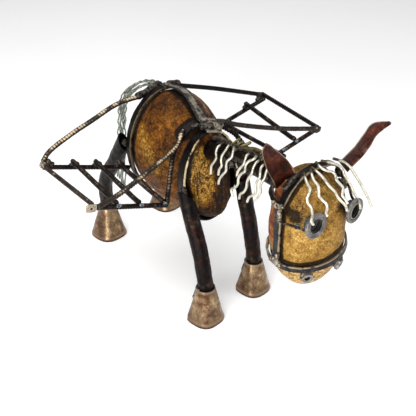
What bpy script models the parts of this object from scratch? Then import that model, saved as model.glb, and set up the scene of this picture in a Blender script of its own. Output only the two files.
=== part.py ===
"""Recycled donkey: a pebble body and head in a harness of welded scrap steel, with two
side trays of reinforcing bar, on four tube legs in rolled sheet hooves.

Metres, +Z up. The donkey faces -Y, its right side is -X. The model is laid out with x = 0
on the middle of the back and y = 0 just in front of the chest hoop, and the parent empty
then centres the whole on the origin.
"""

import math

import bmesh
import bpy
from mathutils import Matrix, Vector

GAP = 0.0003  # between pieces that touch

# Stones: centre, half sizes across, along and up, nose-down pitch, taper towards the front
# and squareness (2 is an ellipsoid).
BODY = dict(
    centre=(0.0, 0.082, 0.207), half=(0.0663, 0.1105, 0.0860), pitch=29, taper=0.34, square=2.0
)
HEAD = dict(
    centre=(0.0, -0.203, 0.231), half=(0.0505, 0.049, 0.0885), pitch=0, taper=0.0, square=2.28
)

# Hoops of flat bar round the body stone.
REAR_HOOP_Y = 0.134
REAR_HOOP_Z = 0.220
REAR_HOOP_HALF = (0.0725, 0.0915)
REAR_BAR = (0.012, 0.0045)  # width along the body, thickness
CHEST_HOOP_Y = 0.0195
CHEST_HOOP_Z = 0.2045
CHEST_HOOP_HALF = (0.0500, 0.0775)
CHEST_BAR = (0.016, 0.003)

# Where the strap over the withers ends, beside the body stone.
WITHERS_ROOT = (0.0295, 0.0425, 0.275)

# Neck tube, from the chest to the poll.
NECK = ((0.0, 0.0088, 0.2525), (0.0, -0.058, 0.2665), (0.0, -0.100, 0.2745), (0.0, -0.1523, 0.2756))
NECK_R = 0.0158

# Halter round the head stone.
JUNCTION = (0.0525, -0.204, 0.280)  # where its bars meet beside the poll
HALTER_BAR = (0.012, 0.003)
NOSEBAND_CENTRE = (0.001, -0.2035, 0.2025)
NOSEBAND_HALF = (0.0550, 0.0530)
NOSEBAND_HEIGHT = 0.009
NOSEBAND_ROLL = math.radians(12)  # its left side is the higher
CHEEK = {-1: 0.0512, 1: 0.0545}  # inner face of each cheek bar, from the middle plane

# Eye collars and nostril nuts: middle of the back face, and the way they look, with x
# measured outwards.
EYES = {
    -1: ((0.0350, -0.2520, 0.2700), (-0.04, -1.0, 0.03)),
    1: ((0.0368, -0.2470, 0.2630), (0.20, -0.98, 0.0)),
}
EYE_R = 0.0174
EYE_BORE = 0.0100
EYE_DEPTH = 0.0042
BRACKETS = {
    -1: ((0.0567, -0.2060, 0.2630), (0.0560, -0.2200, 0.2640), (0.0530, -0.2330, 0.2655)),
    1: ((0.0603, -0.2050, 0.2765), (0.0600, -0.2135, 0.2750), (0.0480, -0.2330, 0.2705)),
}
NOSTRILS = {
    -1: ((0.0285, -0.2402, 0.1795), (0.45, -1.0, -0.28)),
    1: ((0.0240, -0.2442, 0.1822), (0.35, -1.0, -0.28)),
}
NOSTRIL_R = 0.0078

# Trays of 8 mm bar, one on each side, rising outwards. TRAY_LEVEL gives the height of the
# cross bars at the inner and the outer edge.
ROD = 0.004  # radius
TRAY_FRONT = 0.003
TRAY_REAR = 0.1443
TRAY_EDGES = (0.087, 0.207)
TRAY_LEVEL = {-1: (0.190, 0.229), 1: (0.199, 0.2295)}
STACK = 1.055 * (2 * ROD + GAP)  # the cross bars slope
BUTT = ROD + 2 * GAP  # from the axis of a bar to the end of one that meets its side

# Long bars of each tray: distance out at the rear and at the front, and how each end sits
# on its cross bar: 1 lies over it, -1 under it, anything between butts against its side.
LONG_BARS = {
    -1: {
        "inner_edge": (0.0835, 0.0915, 0.5, 0.5),
        "slat_2": (0.1235, 0.1310, 1, 0.3),
        "slat_1": (0.1620, 0.1670, 1, 0.3),
        "outer_edge": (0.2100, 0.2100, 0, 1),
    },
    1: {
        "inner_edge": (0.0835, 0.0915, 0.5, 0.5),
        "slat_2": (0.1310, 0.1360, -1, -1),
        "slat_1": (0.1740, 0.1630, 1, 0.3),
        "outer_edge": (0.2100, 0.2100, 1, 0),
    },
}

# Struts from the outer corners up to the body, with x measured outwards, foot first.
FRONT_STRUT = {
    -1: (
        (0.2028, -0.0049, 0.2325), (0.1630, 0.0030, 0.2362), (0.1060, 0.0150, 0.2490),
        (0.0558, 0.0250, 0.2645), (0.0390, 0.0318, 0.2815),
    ),
    1: (
        (0.2052, -0.0050, 0.2335), (0.1335, 0.0103, 0.2483), (0.0660, 0.0269, 0.2671),
        (0.0371, 0.0345, 0.2790),
    ),
}
REAR_STRUT = {
    -1: (
        (0.2100, 0.1500, 0.2363), (0.1960, 0.1490, 0.2515), (0.1620, 0.1475, 0.2680),
        (0.1240, 0.1465, 0.2820), (0.0800, 0.1455, 0.2975), (0.0340, 0.1443, 0.3005),
    ),
    1: ((0.2053, 0.1500, 0.2385), (0.1070, 0.1480, 0.2750), (0.0260, 0.1443, 0.3025)),
}
STAY = (
    (0.0700, 0.0170, 0.2315), (0.0580, 0.0270, 0.2530), (0.0460, 0.0345, 0.2636),
    (0.0362, 0.0385, 0.2710),
)

# Legs and hooves.
LEG_R = 0.0122
TUBE_WALL = 0.002
HOOF_TOP_R = 0.0160
SHEET = 0.002
SOLE = 0.003

WIRE = 0.0018  # radius of the hair wires
TAIL_PITCH = 0.0040  # between the tail's wires

COLOURS = {
    "stone": ((0.46, 0.28, 0.10), 0.55, 0.25),
    "dark_steel": ((0.075, 0.065, 0.060), 0.55, 0.9),
    "rebar": ((0.16, 0.12, 0.10), 0.6, 0.85),
    "hoof_sheet": ((0.33, 0.27, 0.22), 0.5, 0.9),
    "rusty_sheet": ((0.20, 0.075, 0.050), 0.5, 0.6),
    "bright_wire": ((0.66, 0.63, 0.55), 0.35, 1.0),
    "grey_wire": ((0.30, 0.32, 0.29), 0.5, 0.9),
    "nut_steel": ((0.30, 0.31, 0.33), 0.4, 1.0),
}


# ---------------------------------------------------------------- helpers


def clear_scene():
    for obj in list(bpy.data.objects):
        bpy.data.objects.remove(obj, do_unlink=True)


def collection(name):
    made = bpy.data.collections.new(name)
    bpy.context.scene.collection.children.link(made)
    return made


def material(name):
    found = bpy.data.materials.get(name)
    if found:
        return found
    colour, roughness, metallic = COLOURS[name]
    made = bpy.data.materials.new(name)
    made.use_nodes = True
    shader = made.node_tree.nodes["Principled BSDF"]
    shader.inputs["Base Color"].default_value = (*colour, 1.0)
    shader.inputs["Roughness"].default_value = roughness
    shader.inputs["Metallic"].default_value = metallic
    return made


def add_object(name, data, finish, group):
    obj = bpy.data.objects.new(name, data)
    obj.data.materials.append(material(finish))
    group.objects.link(obj)
    return obj


def mesh_object(name, bm, finish, group, smooth=True):
    bmesh.ops.recalc_face_normals(bm, faces=bm.faces)
    mesh = bpy.data.meshes.new(name)
    bm.to_mesh(mesh)
    bm.free()
    obj = add_object(name, mesh, finish, group)
    if smooth:
        mesh.shade_smooth()
        mesh.set_sharp_from_angle(angle=math.radians(35))
    return obj


def side_name(side):
    return "right" if side < 0 else "left"


def mirrored(point, side):
    return Vector((side * point[0], point[1], point[2]))


def blend(a, b, t):
    return Vector(a).lerp(Vector(b), t)


def smooth_path(stations, steps):
    """Points on a Catmull-Rom curve through the stations, with steps points to a span."""
    pts = [Vector(p) for p in stations]
    pts = [2 * pts[0] - pts[1]] + pts + [2 * pts[-1] - pts[-2]]
    path = []
    for i in range(1, len(pts) - 2):
        a, b, c, d = pts[i - 1 : i + 3]
        for k in range(steps):
            t = k / steps
            path.append(
                0.5
                * (
                    2 * b
                    + (c - a) * t
                    + (2 * a - 5 * b + 4 * c - d) * t**2
                    + (3 * b - a - 3 * c + d) * t**3
                )
            )
    path.append(pts[-2])
    return path


# ---------------------------------------------------------------- stones


def stone_frame(stone):
    return Matrix.Translation(stone["centre"]) @ Matrix.Rotation(math.radians(stone["pitch"]), 4, "X")


def stone_reach(stone, direction):
    """Distance from the stone's centre to its skin along a direction in its own frame."""
    d = Vector(direction).normalized()
    a, b, c = stone["half"]
    n = stone["square"]
    low, high = 0.0, 2 * max(a, b, c)
    for _ in range(40):
        r = (low + high) / 2
        along = max(-1.0, min(1.0, -r * d.y / b))
        slim = 1 - stone["taper"] * along
        size = abs(r * d.x / (a * slim)) ** n + abs(r * d.y / b) ** n + abs(r * d.z / (c * slim)) ** n
        low, high = (r, high) if size < 1 else (low, r)
    return r


def on_stone(stone, direction, off=0.0):
    """A point off the stone's skin, in the direction given in the model's frame."""
    turn = stone_frame(stone).to_3x3()
    d = turn.transposed() @ Vector(direction).normalized()
    return Vector(stone["centre"]) + turn @ (d * (stone_reach(stone, d) + off))


def make_stone(name, stone, group, rings, dent=0.0008):
    bm = bmesh.new()
    bmesh.ops.create_uvsphere(bm, u_segments=rings + 8, v_segments=rings, radius=1.0)
    for v in bm.verts:
        d = v.co.normalized()
        lump = math.sin(4.1 * d.x + 1.3) * math.cos(3.7 * d.y + 0.4)
        lump += 0.6 * math.sin(6.3 * d.z + 2 * d.x)
        v.co = d * (stone_reach(stone, d) - dent * (1.6 + lump))
    obj = mesh_object(name, bm, "stone", group)
    obj.matrix_world = stone_frame(stone)
    return obj


# ---------------------------------------------------------------- bars, tubes and wires


def ellipse(half_x, half_y, count):
    return [
        (half_x * math.cos(2 * math.pi * k / count), half_y * math.sin(2 * math.pi * k / count))
        for k in range(count)
    ]


def outline_object(name, outlines, thickness, finish, group):
    """A flat plate with the given closed outlines, the later ones being holes."""
    curve = bpy.data.curves.new(name, "CURVE")
    curve.dimensions = "2D"
    curve.fill_mode = "BOTH"
    curve.extrude = thickness / 2
    for outline in outlines:
        spline = curve.splines.new("POLY")
        spline.points.add(len(outline) - 1)
        for point, (x, y) in zip(spline.points, outline):
            point.co = (x, y, 0.0, 1.0)
        spline.use_cyclic_u = True
    return add_object(name, curve, finish, group)


def hoop(name, half, bar, finish, group):
    """Flat bar bent into a ring, lying in its own XY plane."""
    width, thickness = bar
    outer = ellipse(half[0], half[1], 36)
    inner = ellipse(half[0] - thickness, half[1] - thickness, 36)
    return outline_object(name, [outer, inner], width, finish, group)


def rod(name, points, radius, finish, group, sides=8):
    """Round bar or wire along a path, with flat ends."""
    curve = bpy.data.curves.new(name, "CURVE")
    curve.dimensions = "3D"
    curve.bevel_depth = radius
    curve.bevel_resolution = sides // 2 - 2
    curve.use_fill_caps = True
    spline = curve.splines.new("POLY")
    spline.points.add(len(points) - 1)
    for point, co in zip(spline.points, points):
        point.co = (*co, 1.0)
    return add_object(name, curve, finish, group)


def tube(name, path, radius, slant, high, finish, group, sides=12):
    """A hollow tube along a path, open at both ends. Its last end is cut on the slant, with
    the long side towards high."""
    bm = bmesh.new()
    last = len(path) - 1
    rings = []
    for i, p in enumerate(path):
        ahead = (path[min(i + 1, last)] - path[max(i - 1, 0)]).normalized()
        if i == 0 and slant:
            ahead = Vector((0.0, 0.0, 1.0))
        u = (high - ahead * high.dot(ahead)).normalized()
        v = ahead.cross(u)
        ring = []
        for k in range(sides):
            a = 2 * math.pi * k / sides
            out = (u * math.cos(a) + v * math.sin(a)) * radius
            cut = ahead * (slant / 2 * math.cos(a) * (i == last))
            ring.append(bm.verts.new(p + out + cut))
        rings.append(ring)
    for a, b in zip(rings, rings[1:]):
        for k in range(sides):
            bm.faces.new((a[k], a[(k + 1) % sides], b[(k + 1) % sides], b[k]))
    obj = mesh_object(name, bm, finish, group)
    wall = obj.modifiers.new("wall", "SOLIDIFY")
    wall.thickness = TUBE_WALL
    wall.offset = -1.0
    return obj


def strap(name, points, outward, bar, finish, group):
    """Flat bar along a path. outward gives the way its flat faces at each point."""
    width, thickness = bar
    bm = bmesh.new()
    rows = []
    for i, p in enumerate(points):
        ahead = points[min(i + 1, len(points) - 1)] - points[max(i - 1, 0)]
        face = Vector(outward[i]).normalized()
        across = ahead.cross(face).normalized() * (width / 2)
        lift = across.cross(ahead).normalized() * thickness
        if lift.dot(face) < 0:
            lift.negate()
        corners = (p - across, p + across, p + across + lift, p - across + lift)
        rows.append([bm.verts.new(c) for c in corners])
    for a, b in zip(rows, rows[1:]):
        for k in range(4):
            bm.faces.new((a[k], a[(k + 1) % 4], b[(k + 1) % 4], b[k]))
    bm.faces.new(rows[0])
    bm.faces.new(reversed(rows[-1]))
    return mesh_object(name, bm, finish, group)


def turned(name, profile, steps, finish, group):
    """A round piece, its profile of (radius, height) points turned about its own Z."""
    bm = bmesh.new()
    verts = [bm.verts.new((x, 0.0, z)) for x, z in profile]
    for v, follower in zip(verts, verts[1:] + verts[:1]):
        if v.co.x > 0 or follower.co.x > 0:
            bm.edges.new((v, follower))
    mesh = bpy.data.meshes.new(name)
    bm.to_mesh(mesh)
    bm.free()
    obj = add_object(name, mesh, finish, group)
    turn = obj.modifiers.new("turn", "SCREW")
    turn.steps = turn.render_steps = steps
    turn.use_merge_vertices = True
    turn.merge_threshold = 0.0001
    return obj


def as_mesh(obj):
    """Replace a curve object by the mesh it makes, with its caps welded on."""
    bpy.context.view_layer.update()
    evaluated = obj.evaluated_get(bpy.context.evaluated_depsgraph_get())
    bm = bmesh.new()
    bm.from_mesh(bpy.data.meshes.new_from_object(evaluated))
    bmesh.ops.remove_doubles(bm, verts=bm.verts, dist=1e-6)
    bmesh.ops.recalc_face_normals(bm, faces=bm.faces)
    mesh = bpy.data.meshes.new(obj.name)
    bm.to_mesh(mesh)
    bm.free()
    mesh.transform(obj.matrix_world)
    name, finish, group = obj.name, obj.data.materials[0].name, obj.users_collection[0]
    bpy.data.objects.remove(obj, do_unlink=True)
    return add_object(name, mesh, finish, group)


def fused(name, curves, spare):
    """Join wires to the weld bead they grow from, which comes first."""
    bead, *wires = [as_mesh(c) for c in curves]
    for wire in wires:
        wire.users_collection[0].objects.unlink(wire)
        spare.objects.link(wire)
        step = bead.modifiers.new("join", "BOOLEAN")
        step.operation = "UNION"
        step.solver = "EXACT"
        step.object = wire
    bpy.context.view_layer.update()
    evaluated = bead.evaluated_get(bpy.context.evaluated_depsgraph_get())
    mesh = bpy.data.meshes.new_from_object(evaluated)
    bead.modifiers.clear()
    bead.data = mesh
    for wire in wires:
        bpy.data.objects.remove(wire, do_unlink=True)
    bead.name = name
    return bead


def zigzag(stations, sway, waves, amplitude):
    """A kinked wire: a smooth route pushed to and fro along sway, ending at its last station."""
    spans = len(stations) - 1
    steps = max(2, round(2 * waves / spans))
    route = smooth_path(stations, steps)
    side = Vector(sway).normalized()
    path = []
    for i, p in enumerate(route):
        swing = (-1) ** i * min(1.0, 3 * i / len(route))
        path.append(p - side * (amplitude * swing))
    return path


# ---------------------------------------------------------------- the harness on the body


def make_hoops(group):
    rear = hoop("rear_hoop", REAR_HOOP_HALF, REAR_BAR, "dark_steel", group)
    rear.location = (0.0, REAR_HOOP_Y, REAR_HOOP_Z)
    chest = hoop("chest_hoop", CHEST_HOOP_HALF, CHEST_BAR, "dark_steel", group)
    chest.location = (0.0, CHEST_HOOP_Y, CHEST_HOOP_Z)
    for obj in (rear, chest):
        obj.rotation_euler = (math.pi / 2, 0.0, 0.0)


def make_spine(group):
    """The bar along the back, from the top of the rear hoop to the withers."""
    rear_top = REAR_HOOP_Z + REAR_HOOP_HALF[1] + GAP
    start = Vector((0.002, REAR_HOOP_Y + 0.001, rear_top))
    stations = [start, start + Vector((0.001, -0.010, 0.0004))]
    for along in (0.10, -0.15, -0.38, -0.54):
        stations.append(on_stone(BODY, (0.04, along, 1.0), 0.006))
    points = smooth_path(stations, 2)
    outward = [(0.1, -0.1, 1)] * len(points)
    strap("spine_band", points, outward, (0.0125, 0.003), "dark_steel", group)


def make_withers(group):
    """The strap over the withers, and the plate that ties it to the chest hoop and the neck."""
    root = Vector(WITHERS_ROOT) - Vector(BODY["centre"])
    points, faces = [], []
    for k in range(11):
        s = 2 * k / 10 - 1
        bow = 1 - s * s
        d = Vector((s * root.x, root.y - 0.003 * bow, root.z + 0.014 * bow))
        points.append(on_stone(BODY, d, 0.0014))
        faces.append(d)
    strap("withers_strap", points, faces, HALTER_BAR, "dark_steel", group)

    lobes = []
    for k in range(25):
        a = 2 * math.pi * k / 25
        reach_x = 0.0155 + 0.0025 * math.cos(5 * a)
        reach_y = 0.0110 + 0.0020 * math.sin(3 * a)
        lobes.append((reach_x * math.cos(a), reach_y * math.sin(a)))
    eye = [(0.006 + x, y) for x, y in ellipse(0.0028, 0.0028, 10)]
    plate = outline_object("withers_plate", [lobes, eye], 0.004, "dark_steel", group)
    top = CHEST_HOOP_Z + CHEST_HOOP_HALF[1]
    plate.location = (0.006, CHEST_HOOP_Y - 0.006, top + 0.0030)
    plate.rotation_euler = (math.radians(8), 0.0, 0.0)


# ---------------------------------------------------------------- legs and hooves

# For each corner: foot (x outwards, and y), knee or hock, middle of the cut at the top of the
# tube, the way the long side of that cut faces, and the hoof's rim radius and height.
LEGS = {
    "front_right": (
        (-1, 0.0566, -0.0527),
        ((0.0545, -0.0350, 0.1150), (0.0514, 0.0018, 0.1845), (1, 0, 0)),
        (0.0295, 0.0600),
    ),
    "front_left": (
        (1, 0.0505, -0.0367),
        ((0.0500, -0.0260, 0.1100), (0.0512, 0.0008, 0.1880), (1, 0, 0)),
        (0.0290, 0.0560),
    ),
    "rear_right": (
        (-1, 0.0598, 0.2438),
        ((0.0700, 0.2230, 0.1230), (0.0712, 0.1485, 0.2290), (1, 1, 0)),
        (0.0320, 0.0580),
    ),
    "rear_left": (
        (1, 0.0790, 0.2670),
        ((0.0750, 0.2350, 0.1230), (0.0712, 0.1480, 0.2290), (1, 1, 0)),
        (0.0315, 0.0580),
    ),
}
LEG_SLANT = 0.016


def make_hoof(name, foot, rim, height, group):
    """A cone of rolled sheet on a flat sole, open at the top, round the foot of the leg."""
    slope = (rim - HOOF_TOP_R) / height
    profile = [(HOOF_TOP_R, height), (rim, 0.004), (rim - 0.0008, 0.0), (0.0, 0.0)]
    profile += [(0.0, SOLE), (rim - SHEET - slope * SOLE - 0.0006, SOLE)]
    profile += [(HOOF_TOP_R - SHEET, height)]
    obj = turned("hoof_" + name, profile, 24, "hoof_sheet", group)
    obj.location = foot


def make_legs(group):
    """Lengths of tube, each bent once and standing in its hoof."""
    for name, (stance, (knee, top, high), (rim, height)) in LEGS.items():
        side, x, y = stance
        low = (x, y, SOLE + 2 * GAP)
        ankle = (x, y, height)
        stations = [mirrored(p, side) for p in (low, ankle, knee, blend(knee, top, 0.55), top)]
        route = smooth_path(stations, 2)
        tube("leg_" + name, route, LEG_R, LEG_SLANT, mirrored(high, side), "dark_steel", group)
        make_hoof(name, mirrored((x, y, 0.0), side), rim, height, group)


# ---------------------------------------------------------------- trays


def tray_level(side, x):
    """Height of the cross bars of a tray at distance x from the middle plane."""
    inner, outer = TRAY_EDGES
    low, high = TRAY_LEVEL[side]
    return low + (high - low) * (x - inner) / (outer - inner)


def long_bar_end(side, x, seat, cross_y, away):
    """End of a long bar at a cross bar. away is the direction past the cross bar."""
    past = ROD + 0.0015 if abs(seat) == 1 else -BUTT
    if x == LONG_BARS[side]["outer_edge"][0] and seat == 0:
        past = ROD + (0.0055 if away > 0 else 0.0)
    return Vector((x, cross_y + away * past, tray_level(side, x) + seat * STACK))


def cross_bar_end(side, seat):
    """Outer end of a cross bar, which meets the outer edge's side or passes under it."""
    outer = LONG_BARS[side]["outer_edge"][0]
    return outer - BUTT if seat == 0 else outer + 0.0025


def make_tray(side, group):
    """Two cross bars, the front one bent up into a stay, four long bars and two struts."""
    where = side_name(side)

    def bar(name, points):
        rod(f"tray_{where}_{name}", [mirrored(p, side) for p in points], ROD, "rebar", group)

    for name, (x_rear, x_front, rear_seat, front_seat) in LONG_BARS[side].items():
        rear = long_bar_end(side, x_rear, rear_seat, TRAY_REAR, 1)
        front = long_bar_end(side, x_front, front_seat, TRAY_FRONT, -1)
        bar(name, [front, rear])

    _, _, rear_seat, front_seat = LONG_BARS[side]["outer_edge"]
    x = cross_bar_end(side, rear_seat)
    bar("rear_bar", [(r, TRAY_REAR, tray_level(side, r)) for r in (x, 0.066)])

    x = cross_bar_end(side, front_seat)
    points = [Vector((r, TRAY_FRONT, tray_level(side, r))) for r in (x, 0.0985, 0.0905)]
    corner = tray_level(side, TRAY_EDGES[0])
    points.append(Vector((0.0862, TRAY_FRONT + 0.0004, corner + 0.0035)))
    points.append(Vector((0.0834, TRAY_FRONT + 0.0022, corner + 0.0120)))
    bar("front_bar", points + smooth_path(STAY, 2))

    bar("front_strut", smooth_path(FRONT_STRUT[side], 2))
    bar("rear_strut", smooth_path(REAR_STRUT[side], 2))


def make_corner_plate(group):
    """A small bored plate at the front corner of the right tray."""
    corners = [(-0.0080, -0.0060), (0.0065, -0.0055), (0.0080, 0.0)]
    corners += [(0.0065, 0.0055), (-0.0080, 0.0060)]
    hole = ellipse(0.0019, 0.0019, 10)
    name = "tray_right_corner_plate"
    plate = outline_object(name, [corners, hole], 0.0028, "rebar", group)
    plate.location = (-0.2124, -0.0043, 0.2335)
    plate.rotation_euler = (math.pi / 2, math.radians(12), 0.0)


# ---------------------------------------------------------------- neck and halter


def make_neck(group):
    up = Vector((0.0, 0.0, 1.0))
    tube("neck", smooth_path(NECK, 2), NECK_R, 0.0, up, "dark_steel", group, sides=14)


def crown_direction(angle):
    """From the middle of the head stone to the crown band, at an angle in degrees from its
    right end."""
    a = math.radians(angle)
    out, _, up = Vector(JUNCTION) - Vector(HEAD["centre"])
    rise = math.sin(a)
    return Vector((-out * math.cos(a), -0.007 * rise, up + 0.046 * rise))


def crown_point(angle, lift):
    """A point over the crown band's inner face. The band stands off the stone on the left."""
    loose = 0.0115 * math.sin(math.radians(max(0.0, angle - 105) / 130 * 180))
    return on_stone(HEAD, crown_direction(angle), 0.0012 + loose + lift)


def make_halter(group):
    centre = Vector(HEAD["centre"])
    side_dir = Vector(JUNCTION) - centre

    # Over the forehead, from junction to junction.
    arc = [6 + 168 * k / 16 for k in range(17)]
    faces = [crown_direction(a) for a in arc]
    points = [crown_point(a, 0.0) for a in arc]
    strap("crown_band", points, faces, HALTER_BAR, "dark_steel", group)

    # Round the back of the stone, between it and the neck.
    start = math.radians(12)
    points, faces = [], []
    for k in range(15):
        a = start + (math.pi - 2 * start) * k / 14
        back = math.sin(a)
        rise = side_dir.z + 0.010 * back
        d = Vector((-side_dir.x * math.cos(a), side_dir.y + 0.055 * back, rise))
        points.append(on_stone(HEAD, d, 0.0030))
        faces.append(d)
    strap("poll_yoke", points, faces, HALTER_BAR, "dark_steel", group)

    band = hoop("noseband", NOSEBAND_HALF, (NOSEBAND_HEIGHT, HALTER_BAR[1]), "dark_steel", group)
    band.location = NOSEBAND_CENTRE
    band.rotation_euler = (0.0, -NOSEBAND_ROLL, 0.0)

    # Down each cheek to the noseband.
    high = JUNCTION[2] - 0.0010
    for side in (-1, 1):
        roll = side * CHEEK[side] * math.sin(NOSEBAND_ROLL)
        low = NOSEBAND_CENTRE[2] + roll + NOSEBAND_HEIGHT / 2 + 0.0004
        points = [Vector((side * CHEEK[side], JUNCTION[1], z)) for z in (low, high)]
        faces = [(side, 0.0, 0.0)] * 2
        strap(f"cheek_bar_{side_name(side)}", points, faces, HALTER_BAR, "dark_steel", group)


def aim(obj, place, direction):
    """Put a piece's origin at place with its own Z along direction."""
    obj.location = place
    obj.rotation_euler = direction.to_track_quat("Z", "Y").to_euler()


def make_face(group):
    """Threaded collars for eyes, each on a wire bracket, and hexagon nuts for nostrils."""
    bevel = 0.0012
    collar_profile = [
        (EYE_R - bevel, EYE_DEPTH), (EYE_R, EYE_DEPTH - bevel), (EYE_R, bevel), (EYE_R - bevel, 0.0),
        (EYE_BORE, 0.0), (EYE_BORE, EYE_DEPTH - bevel), (EYE_BORE + bevel, EYE_DEPTH),
    ]
    for side in (-1, 1):
        where = side_name(side)
        place, looks = EYES[side]
        collar = turned(f"eye_collar_{where}", collar_profile, 22, "nut_steel", group)
        aim(collar, mirrored(place, side), mirrored(looks, side))

        reach = 0.0120
        arm = [*BRACKETS[side], (place[0] + reach, place[1] + reach * looks[0] + 0.0012, 0.2665)]
        rod(f"eye_bracket_{where}", [mirrored(p, side) for p in arm], WIRE, "rebar", group)

        place, looks = NOSTRILS[side]
        outlines = [ellipse(NOSTRIL_R, NOSTRIL_R, 6), ellipse(0.0040, 0.0040, 12)]
        nut = outline_object(f"nostril_nut_{where}", outlines, 0.0050, "nut_steel", group)
        aim(nut, mirrored(place, side), mirrored(looks, side))


# ---------------------------------------------------------------- ears


def make_ear(name, spine, base_across, tip_across, widths, cup, group):
    """A leaf of sheet, cupped along its length. widths gives its half width at each station
    of the spine."""
    path = smooth_path(spine, 2)
    last = len(path) - 1
    bm = bmesh.new()
    rows = []
    for i, p in enumerate(path):
        low, high = widths[i // 2], widths[min(i // 2 + 1, len(widths) - 1)]
        half = low + (high - low) * (i % 2) / 2
        across = blend(base_across, tip_across, i / last).normalized()
        ahead = path[min(i + 1, last)] - path[max(i - 1, 0)]
        back = across.cross(ahead).normalized()
        row = []
        for k in range(5):
            s = k / 2 - 1
            row.append(bm.verts.new(p + across * (half * s) + back * (cup * half * s * s)))
        rows.append(row)
    for a, b in zip(rows, rows[1:]):
        for k in range(4):
            bm.faces.new((a[k], a[k + 1], b[k + 1], b[k]))
    obj = mesh_object(name, bm, "rusty_sheet", group)
    sheet = obj.modifiers.new("sheet", "SOLIDIFY")
    sheet.thickness = SHEET
    sheet.offset = 1.0
    return obj


def make_ears(group):
    spine = (
        (-0.0350, -0.1925, 0.3080), (-0.0440, -0.1935, 0.3275), (-0.0603, -0.1975, 0.3515),
        (-0.0727, -0.2005, 0.3675), (-0.0775, -0.2035, 0.3765),
    )
    widths = (0.0145, 0.0124, 0.0100, 0.0066, 0.0016)
    make_ear("ear_right", spine, (0.80, -0.28, 0.52), (0.95, -0.25, 0.20), widths, 0.35, group)
    spine = (
        (0.0445, -0.2134, 0.3095), (0.0625, -0.2190, 0.3275), (0.0790, -0.2165, 0.3380),
        (0.0905, -0.2190, 0.3525), (0.1115, -0.2270, 0.3580),
    )
    widths = (0.0108, 0.0100, 0.0104, 0.0092, 0.0014)
    make_ear("ear_left", spine, (-0.60, 0.15, 0.80), (-0.40, 0.20, 0.85), widths, -0.3, group)


# ---------------------------------------------------------------- hair of kinked wire


def make_mane(group, spare):
    """Wires welded along the crest of the neck, hanging down both sides."""
    crest = [p + Vector((0.0, 0.0, NECK_R + WIRE + 3 * GAP)) for p in smooth_path(NECK, 4)]
    for side, lengths in ((-1, (36, 40, 48, 34, 62, 60, 58, 50)), (1, (34, 42, 38, 46, 50, 44))):
        inset = Vector((side * 0.0032, 0.0, 0.0))
        wires = [rod("bead", [p + inset for p in crest], 0.0026, "bright_wire", group, 4)]
        for i, length in enumerate(lengths):
            place = (i + 0.6) / len(lengths) * (len(crest) - 1)
            root = blend(crest[int(place)], crest[int(place) + 1], place % 1) + inset
            drop = length / 1000
            stations = (
                root,
                root + Vector((side * 0.012, -0.002, -0.004)),
                root + Vector((side * 0.021, 0.000, -0.014 - 0.10 * drop)),
                root + Vector((side * (0.021 + 0.16 * drop), 0.004 + 0.10 * drop, -drop)),
            )
            route = zigzag(stations, (0.35 * side, -0.9, 0.0), 3, 0.0026)
            wires.append(rod("wire", route, WIRE, "bright_wire", group, 4))
        fused(f"mane_{side_name(side)}", wires, spare)


# Forelock: for each wire, its angle round the crown band, how it bows out on the way, and
# its tip.
FORELOCK = (
    (65, (0.000, -0.003, 0.000), (-0.0515, -0.2655, 0.2830)),
    (77, (0.000, 0.000, 0.000), (-0.0260, -0.2640, 0.2855)),
    (85, (-0.006, -0.001, -0.002), (0.0080, -0.2630, 0.2800)),
    (92, (0.000, 0.000, 0.000), (0.0100, -0.2610, 0.2900)),
    (101, (0.004, 0.000, 0.005), (0.0280, -0.2620, 0.2770)),
    (124, (0.008, -0.003, 0.010), (0.0540, -0.2625, 0.2690)),
)


def make_forelock(group, spare):
    """Wires welded along the crown band and combed forward over the face."""
    lift = HALTER_BAR[1] + WIRE + 2 * GAP
    bead = [crown_point(60 + 66 * k / 8, lift) for k in range(9)]
    wires = [rod("bead", bead, WIRE + 0.0002, "bright_wire", group, 6)]
    for angle, bow, tip in FORELOCK:
        root = crown_point(angle, lift + 0.0003)
        edge = root + Vector((0.0, -0.010, -0.0005))
        over = on_stone(HEAD, blend(root, tip, 0.50) - Vector(HEAD["centre"]), 0.0095) + Vector(bow)
        route = zigzag((root, edge, over, Vector(tip)), (1.0, 0.2, 0.0), 4, 0.0022)
        wires.append(rod("wire", route, WIRE, "bright_wire", group, 6))
    fused("forelock", wires, spare)


def make_tail(group, spare):
    """Six wires in two layers of three from the top of the rear hoop, arching back and hanging
    loose. They run side by side, so that only the weld bead joins them."""
    behind = REAR_HOOP_Y + REAR_BAR[0] / 2 + 2 * GAP
    root = Vector((0.0, behind, REAR_HOOP_Z + REAR_HOOP_HALF[1] - 0.0050))
    bead = [root + Vector((0.0, k * 0.006, 0.0)) for k in range(3)]
    wires = [rod("bead", bead, 0.0068, "grey_wire", group, 8)]
    for i in range(6):
        column = i % 3 - 1
        layer = i // 3 - 0.5
        apart = TAIL_PITCH * Vector((column, layer, layer))
        stations = (
            root + apart + Vector((0.0, 0.0045, 0.0)),
            root + apart + Vector((0.0, 0.0180, 0.0)),
            root + 1.2 * apart + Vector((-0.005, 0.060, -0.014)),
            root + 1.3 * apart + Vector((-0.011, 0.106, -0.056)),
            root + 1.3 * apart + Vector((-0.014, 0.117, -0.122)),
            root + 2.0 * apart + Vector((-0.020, 0.124, -0.205 - 0.018 * (i % 3))),
        )
        route = zigzag(stations, (1.0, 0.5, 0.0), 7, 0.0024)
        wires.append(rod("wire", route, WIRE, "grey_wire", group, 4))
    fused("tail", wires, spare)


# ---------------------------------------------------------------- the whole


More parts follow.
